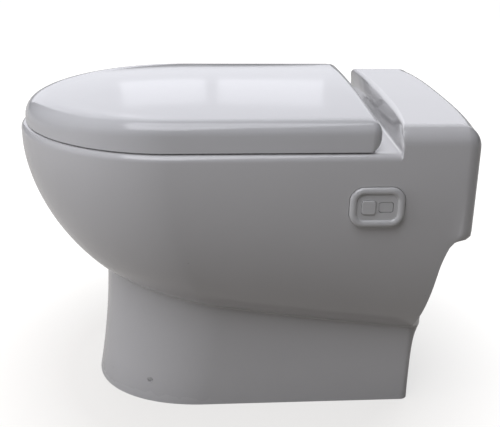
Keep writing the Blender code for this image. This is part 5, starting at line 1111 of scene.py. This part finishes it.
class TOILET_OT_body(bpy.types.Operator):
    """Model the glazed body with its bowl, hollows and openings"""

    bl_idname = "toilet.body"
    bl_label = "Glazed body"

    def execute(self, context):
        sizes = context.scene.toilet_body
        body = body_blank(sizes)
        carve(body, bay_tool())
        low = (-HALF + RIM_PLAN.corner, RIDGE_Y + CLAY, RIM_HEIGHT - SLAB - OVERRUN)
        high = (HALF - RIM_PLAN.corner, REAR_Y - CLAY - OVERRUN, DECK_HEIGHT - SLAB)
        carve(body, block("deck_tool", low, high))
        carve(body, bowl_tool(sizes.bowl_lip))
        carve(body, bar("outlet_tool", OUTLET_BORE, (0, SUMP_BACK, OUTLET_HEIGHT),
                        (0, OUTLET_END + HORN_WALL, OUTLET_HEIGHT), "Y", 64))
        middle = (0.0, SERVICE_HEIGHT / 2 - SERVICE_CORNER)
        carve(body, slab("service_tool", "Y", middle,
                         (SERVICE_WIDTH, SERVICE_HEIGHT + 2 * SERVICE_CORNER), SERVICE_CORNER,
                         NECK_PLAN.rear - CLAY - OVERRUN - RIM_PLAN.corner, REAR_Y))
        for tool in small_openings():
            carve(body, tool)
        middle = (PANEL_BACK, PANEL_HEIGHT)
        pocket = (PANEL_WIDTH + 2 * PANEL_PLAY, PANEL_TALL + 2 * PANEL_PLAY)
        carve(body, slab("pocket_tool", "X", middle, pocket, PANEL_CORNER + PANEL_PLAY,
                         PANEL_FLOOR, HALF + OVERRUN, PANEL_STEPS))
        width, tall = spigot_size()
        carve(body, slab("spigot_tool", "X", middle, (width + 2 * GAP, tall + 2 * GAP),
                         SPIGOT_CORNER, PANEL_FLOOR - CLAY - OVERRUN,
                         PANEL_FLOOR + OVERRUN))
        smooth(body)
        finish_piece(body, stuff("glaze"), "body", "white_glaze", "ceramic_body")
        return {"FINISHED"}


def lid_crown(x, y):
    """How far the lid's crown stands over its shoulder, at a place seen from above."""
    across = (x / (LID_PLAN.half - LID_ROUND)) ** 2
    if y < LID_CENTRE:
        reach = LID_CENTRE - LID_PLAN.tip - LID_ROUND * (1 + LID_TIP_MORE)
        return LID_CROWN * max(0.0, 1 - across - ((LID_CENTRE - y) / reach) ** 2)
    along = ((y - LID_CENTRE) / (LID_REAR - LID_CENTRE)) ** 2
    return LID_CROWN * max(0.0, 1 - across) * (1 - (1 - LID_REAR_ARCH) * along)


def shell_rings(inset, steps):
    """Rings of one face of the lid, from its lower edge to the middle of its crown."""
    rings = []
    for step in range(steps, 0, -1):
        turn = QUARTER * step / steps
        ring = []
        for (x, y), column in zip(outline(LID_PLAN, inset), SHELL_COLUMNS):
            drop = LID_TIP_SEAM * column.front ** 2
            radius = LID_REAR_ROUND - inset * column.rear - drop
            tuck = (LID_REAR_ROUND - inset) * (1 - math.cos(turn)) * column.rear
            ring.append(Vector((x, y - tuck, HINGE_Z - drop - radius * math.sin(turn))))
        rings.append(ring)
    plans = {}
    for step in range(steps + 1):
        turn = QUARTER * step / steps
        ring = []
        for index, column in enumerate(SHELL_COLUMNS):
            reach = LID_ROUND * (1 + LID_TIP_MORE * column.front ** 2) - inset
            key = round(inset + reach * (1 - math.cos(turn)), 7)
            if key not in plans:
                plans[key] = outline(LID_PLAN, key)
            x, y = plans[key][index]
            tall = LID_ROUND * (1 + LID_TIP_TALL * column.front ** 2)
            rise = (tall - inset + lid_crown(x, y)) * math.sin(turn)
            ring.append(Vector((x, y, LID_TOP - tall + rise)))
        rings.append(ring)
    last = rings[-1]
    for step in range(1, CROWN_STEPS + 1):
        share = 1 - step / (CROWN_STEPS + 0.5)
        places = [(p.x * share, LID_CENTRE + (p.y - LID_CENTRE) * share) for p in last]
        rings.append([Vector((x, y, LID_TOP - inset + lid_crown(x, y))) for x, y in places])
    return rings


def lid_lug(sign):
    """One hinge lug of the lid, from its pin eye up into the crown."""
    start = HINGE_HALF + POST_HALF + KNUCKLE_GAP
    across = sorted((sign * start, sign * (start + LID_LUG_WIDTH)))
    lug = on_hinge("lid_lug", LID_LUG_RADIUS, across)
    web = block("lid_web", (across[0], HINGE_BACK - LID_LUG_RADIUS, HINGE_Z),
                (across[1], HINGE_BACK + LID_LUG_RADIUS - LID_WEB_INSET, LID_TOP - LID_WEB_SINK))
    return carve(lug, web, "UNION")


class TOILET_OT_lid(bpy.types.Operator):
    """Model the wrap-over lid with its hinge lugs and notches"""

    bl_idname = "toilet.lid"
    bl_label = "Lid"

    def execute(self, context):
        inner = shell_rings(LID_WALL, LINING_ROWS)
        outer = shell_rings(0.0, LID_ROWS)
        lid = rolled_grid("lid_cover", list(reversed(inner)) + outer)
        for sign in (-1, 1):
            seat_lug = POST_HALF + KNUCKLE_GAP + SEAT_LUG_WIDTH + NOTCH_SPARE
            far = HINGE_HALF + POST_HALF + KNUCKLE_GAP + NOTCH_SPARE
            across = sorted((sign * (HINGE_HALF - seat_lug), sign * far))
            carve(lid, block("notch_tool", (across[0], HINGE_BACK - LID_REAR_ROUND,
                                            HINGE_Z - LID_REAR_ROUND - OVERRUN),
                             (across[1], LID_REAR + OVERRUN, HINGE_Z + NOTCH_RISE)))
            carve(lid, lid_lug(sign), "UNION")
            start = HINGE_HALF + POST_HALF - OVERRUN
            across = (sign * start, sign * (start + LID_LUG_WIDTH + 3 * OVERRUN))
            carve(lid, on_hinge("pin_tool", PIN_RADIUS + GAP, across, 32))
        smooth(lid)
        finish_piece(lid, stuff("seat_plastic"), "lid", "seat_plastic", "lid_shell")
        return {"FINISHED"}


def seat_profile(steps):
    """Shares across and up the seat's section, smoothed all the way round."""
    points = list(zip(SEAT_ACROSS, SEAT_UPS))
    count = len(points)
    result = []
    for i in range(count):
        a, b, c, d = (points[(i + k) % count] for k in (-1, 0, 1, 2))
        for step in range(steps):
            t = step / steps
            result.append(tuple(
                b[k] + 0.5 * t * (c[k] - a[k] + t * (2 * a[k] - 5 * b[k] + 4 * c[k] - d[k]
                                                     + t * (3 * (b[k] - c[k]) + d[k] - a[k])))
                for k in (0, 1)))
    return [(min(max(across, 0.0), 1.0), min(max(up, 0.0), 1.0)) for across, up in result]


class TOILET_OT_seat(bpy.types.Operator):
    """Model the crowned seat ring with its hinge lugs"""

    bl_idname = "toilet.seat"
    bl_label = "Seat"

    def execute(self, context):
        rings = []
        for across, up in seat_profile(4):
            rings.append([Vector((ox + (hx - ox) * across, oy + (hy - oy) * across,
                                  SEAT_BOTTOM + SEAT_THICK * up))
                          for (ox, oy), (hx, hy) in zip(outline(SEAT_PLAN),
                                                        outline(HOLE_PLAN))])
        seat = rolled_grid("seat_cover", rings, capped=False, looped=True)
        for sign in (-1, 1):
            start = HINGE_HALF - POST_HALF - KNUCKLE_GAP - SEAT_LUG_WIDTH
            across = sorted((sign * start, sign * (start + SEAT_LUG_WIDTH)))
            lug = on_hinge("seat_lug", SEAT_LUG_RADIUS, across)
            carve(lug, block("seat_web", (across[0], SEAT_PLAN.rear - SEAT_WEB_REACH,
                                          SEAT_BOTTOM + SEAT_WEB_LOW),
                             (across[1], HINGE_BACK, SEAT_BOTTOM + SEAT_WEB_HIGH)), "UNION")
            carve(seat, lug, "UNION")
            across = (across[0] - OVERRUN, across[1] + OVERRUN)
            carve(seat, on_hinge("pin_tool", PIN_RADIUS + GAP, across, 32))
        smooth(seat, 38.0)
        finish_piece(seat, stuff("seat_plastic"), "seat", "seat_plastic", "seat_ring")
        return {"FINISHED"}


def pad_places():
    """The two flush pads' names, middles, sizes and how proud each one is."""
    full = PANEL_BACK - (HALF_PAD[0] + PAD_SPLIT) / 2
    half = PANEL_BACK + (FULL_PAD[0] + PAD_SPLIT) / 2
    return (("full", full, FULL_PAD, FULL_PROUD), ("half", half, HALF_PAD, HALF_PROUD))


def panel_ring(inset, x):
    """One rounded outline of the flush panel, at an inset and a place across the body."""
    corner = max(PANEL_CORNER - inset, PANEL_LEAST_CORNER)
    half = (PANEL_WIDTH / 2 - inset - corner, PANEL_TALL / 2 - inset - corner)
    points = []
    for quarter, (side, rise) in enumerate(((1, 1), (-1, 1), (-1, -1), (1, -1))):
        for step in range(PANEL_STEPS + 1):
            turn = QUARTER * (quarter + step / PANEL_STEPS)
            points.append(Vector((x, PANEL_BACK + side * half[0] + corner * math.cos(turn),
                                  PANEL_HEIGHT + rise * half[1] + corner * math.sin(turn))))
    return points


def raised_ring(roll):
    """The panel's ring, its section a low half round, with the sunk field inside it."""
    floor = PANEL_FLOOR + GAP
    field = PANEL_FACE - PANEL_RECESS
    rings = [panel_ring(0.0, floor), panel_ring(0.0, PANEL_FACE - roll)]
    for step in range(1, RING_STEPS):
        turn = math.pi * step / RING_STEPS
        x = PANEL_FACE - roll * (1 - math.sin(turn))
        if x > field or turn < QUARTER:
            rings.append(panel_ring(PANEL_BORDER / 2 * (1 - math.cos(turn)), x))
    rings.append(panel_ring(PANEL_BORDER - FIELD_LAP, field))
    rings.append(panel_ring(PANEL_BORDER + FIELD_STEP, field - FIELD_DIP))
    return rolled_grid("flush_ring", rings)


class TOILET_OT_flush_panel(bpy.types.Operator):
    """Model the raised ring, its sunk field and the two flush pads"""

    bl_idname = "toilet.flush_panel"
    bl_label = "Flush panel"

    def execute(self, context):
        sizes = context.scene.toilet_panel
        ring = raised_ring(sizes.roll)
        width, tall = spigot_size()
        carve(ring, slab("spigot", "X", (PANEL_BACK, PANEL_HEIGHT), (width, tall),
                         SPIGOT_CORNER, SPIGOT_END, PANEL_FLOOR + GAP + SPIGOT_SINK), "UNION")
        for name, back, (wide, high), proud in pad_places():
            carve(ring, slab("pad_tool", "X", (back, PANEL_HEIGHT),
                             (wide + 2 * GAP, high + 2 * GAP), sizes.pad_corner,
                             SPIGOT_END - OVERRUN, PANEL_FACE + OVERRUN, 10))
        smooth(ring)
        finish_piece(ring, stuff("pad_plastic"), "body", "pad_plastic", "flush_frame")
        for name, back, size, proud in pad_places():
            face = PANEL_FACE - PANEL_RECESS + proud
            pad = slab(f"{name}_pad_cap", "X", (back, PANEL_HEIGHT), size,
                       sizes.pad_corner, face - PAD_THICK, face, 10)
            round_edges(pad, sizes.pad_roll, 4, 50.0)
            low = (SPIGOT_END, back - STEM_HALF, PANEL_HEIGHT - STEM_HALF)
            high = (face - STEM_SINK, back + STEM_HALF, PANEL_HEIGHT + STEM_HALF)
            carve(pad, block("stem", low, high), "UNION")
            smooth(pad)
            finish_piece(pad, stuff("pad_plastic"), f"{name}_flush_button", "pad_plastic",
                         f"{name}_flush_pad")
        return {"FINISHED"}


MODELLED = ("ceramic_body", "lid_shell", "seat_ring", "flush_frame", "full_flush_pad",
            "half_flush_pad")
ROUNDED_BY = {"bright_steel": 0.0004, "zinc_steel": 0.0004, "brass_fitting": 0.0005,
              "grey_plastic": 0.0008, "black_plastic": 0.0006, "white_plastic": 0.0008,
              "pad_plastic": 0.0003, "buffer_rubber": 0.0010, "dark_rubber": 0.0006,
              "green_board": 0.0002}
FLAT_ANGLE = math.radians(0.5)


def softened(node_name, width):
    """A copy of a CAD node with its edges rounded and its curved faces shaded smooth."""
    piece = bpy.data.objects.new(f"{node_name}_piece", frame["nodes"][node_name].data.copy())
    bpy.context.scene.collection.objects.link(piece)
    weld(piece)
    with editing(piece):
        bpy.ops.mesh.dissolve_limited(angle_limit=FLAT_ANGLE)
    round_edges(piece, width, 2, 38.0)
    return smooth(piece)


class TOILET_OT_fittings(bpy.types.Operator):
    """Round and shade the fittings, and give each node of the frame its own finish"""

    bl_idname = "toilet.fittings"
    bl_label = "Fittings"

    def execute(self, context):
        bodies = frame["record"]["behaviour"]["bodies"]
        body_of = {node: body for body, nodes in bodies.items() for node in nodes}
        for entry in frame["record"]["subparts"]:
            name, slot = entry["node"], entry["material_slot"]
            finish = stuff(slot.replace("white_glaze", "glaze"))
            thing = frame["nodes"][name]
            thing.data.materials.clear()
            thing.data.materials.append(finish)
            if name not in MODELLED:
                piece = softened(name, ROUNDED_BY[slot])
                finish_piece(piece, finish, body_of[name], slot, name)
        return {"FINISHED"}


FLOOR_SIZE = 60.0
ROOM_LIGHT = 0.03
LAMP_COLOUR = (0.935, 0.94, 1.0)
LAMPS = (
    ("overhead", (1.5, 1.1), 12.5, (0.55, -0.25, 2.1), (0, 0, 0.3)),
    ("camera_top", (1.2, 0.8), 9.5, (1.25, -0.55, 1.75), (0, 0, 0.3)),
    ("far_wall", (4.6, 3.55), 58.0, (-2.65, 0.10, 2.05), (0, 0.1, 0.37)),
    ("window_left", (0.43, 0.47), 0.22, (-2.55, -0.29, 1.09), (0, -0.1, 0.37)),
    ("window_right", (0.49, 0.47), 0.25, (-2.55, 0.225, 1.09), (0, 0.1, 0.37)),
    ("front_fill", (1.0, 1.0), 11.0, (0.50, -2.0, 0.60), (0, 0, 0.2)),
)


MATT_LAMP = "front_fill"        # lights the side, but isn't mirrored in the glaze
CAMERA_PLACE = (0.96376, -0.01936, 0.58026)
CAMERA_YAW = 0.0352
CAMERA_PITCH = 0.3617
CAMERA_ROLL = 0.0060
CAMERA_LENS = 56.96
CAMERA_SHIFT = (0.0096, -0.0015)


class TOILET_OT_stage(bpy.types.Operator):
    """Lay the floor, set the soft studio light and place the camera"""

    bl_idname = "toilet.stage"
    bl_label = "Stage"

    def execute(self, context):
        deselect()
        bpy.ops.mesh.primitive_plane_add(size=FLOOR_SIZE, location=(0, 0, 0))
        floor = settle(bpy.context.object, "studio_floor")
        floor.data.materials.append(stuff("floor"))
        world = bpy.data.worlds.new("studio")
        context.scene.world = world
        world.use_nodes = True
        sky = world.node_tree.nodes["Background"]
        sky.inputs["Color"].default_value = (1.0, 1.0, 1.0, 1.0)
        rays = world.node_tree.nodes.new("ShaderNodeLightPath")
        seen = node(world.node_tree, "ShaderNodeMath", {"operation": "MAXIMUM"},
                    _0=rays.outputs["Is Camera Ray"], _1=ROOM_LIGHT)
        world.node_tree.links.new(seen.outputs[0], sky.inputs["Strength"])
        for name, size, power, place, aim in LAMPS:
            bpy.ops.object.light_add(type="AREA", location=place)
            lamp = bpy.context.object
            lamp.name = name
            lamp.visible_camera = False
            lamp.visible_glossy = name != MATT_LAMP
            lamp.data.shape = "RECTANGLE"
            lamp.data.size, lamp.data.size_y = size
            lamp.data.energy = power
            lamp.data.color = LAMP_COLOUR
            way = Vector(aim) - Vector(place)
            lamp.rotation_euler = way.to_track_quat("-Z", "Y").to_euler()
        camera = bpy.data.objects.new("camera", bpy.data.cameras.new("camera"))
        context.scene.collection.objects.link(camera)
        camera.location = CAMERA_PLACE
        level = math.cos(CAMERA_PITCH)
        ahead = Vector((-math.cos(CAMERA_YAW) * level, math.sin(CAMERA_YAW) * level,
                        -math.sin(CAMERA_PITCH)))
        turn = ahead.to_track_quat("-Z", "Y").to_matrix().to_4x4()
        camera.rotation_euler = (turn @ Matrix.Rotation(CAMERA_ROLL, 4, "Z")).to_euler()
        camera.data.lens = CAMERA_LENS
        camera.data.shift_x, camera.data.shift_y = CAMERA_SHIFT
        context.scene.camera = camera
        context.scene.view_settings.view_transform = "Standard"
        return {"FINISHED"}


class TOILET_PT_panel(bpy.types.Panel):
    """Sizes, finishes and pieces of the toilet"""

    bl_idname = "TOILET_PT_panel"
    bl_label = "Compact toilet"
    bl_space_type = "VIEW_3D"
    bl_region_type = "UI"
    bl_category = "Toilet"

    def draw(self, context):
        for group in (context.scene.toilet_body, context.scene.toilet_panel,
                      context.scene.toilet_finishes):
            box = self.layout.box()
            for name in group.bl_rna.properties.keys():
                if name not in ("rna_type", "name"):
                    box.prop(group, name)
        for operator in OPERATORS:
            self.layout.operator(operator.bl_idname)


OPERATORS = (
    TOILET_OT_stage, TOILET_OT_body, TOILET_OT_lid, TOILET_OT_seat, TOILET_OT_flush_panel,
    TOILET_OT_fittings,
)
CLASSES = (BodySizes, PanelSizes, Finishes) + OPERATORS + (TOILET_PT_panel,)


def register():
    for item in CLASSES:
        bpy.utils.register_class(item)
    bpy.types.Scene.toilet_body = bpy.props.PointerProperty(type=BodySizes)
    bpy.types.Scene.toilet_panel = bpy.props.PointerProperty(type=PanelSizes)
    bpy.types.Scene.toilet_finishes = bpy.props.PointerProperty(type=Finishes)


def unregister():
    del bpy.types.Scene.toilet_finishes
    del bpy.types.Scene.toilet_panel
    del bpy.types.Scene.toilet_body
    for item in reversed(CLASSES):
        bpy.utils.unregister_class(item)


def main():
    register()
    bpy.ops.toilet.stage()
    bpy.ops.toilet.body()
    bpy.ops.toilet.lid()
    bpy.ops.toilet.seat()
    bpy.ops.toilet.flush_panel()
    bpy.ops.toilet.fittings()


if __name__ == "__main__":
    main()
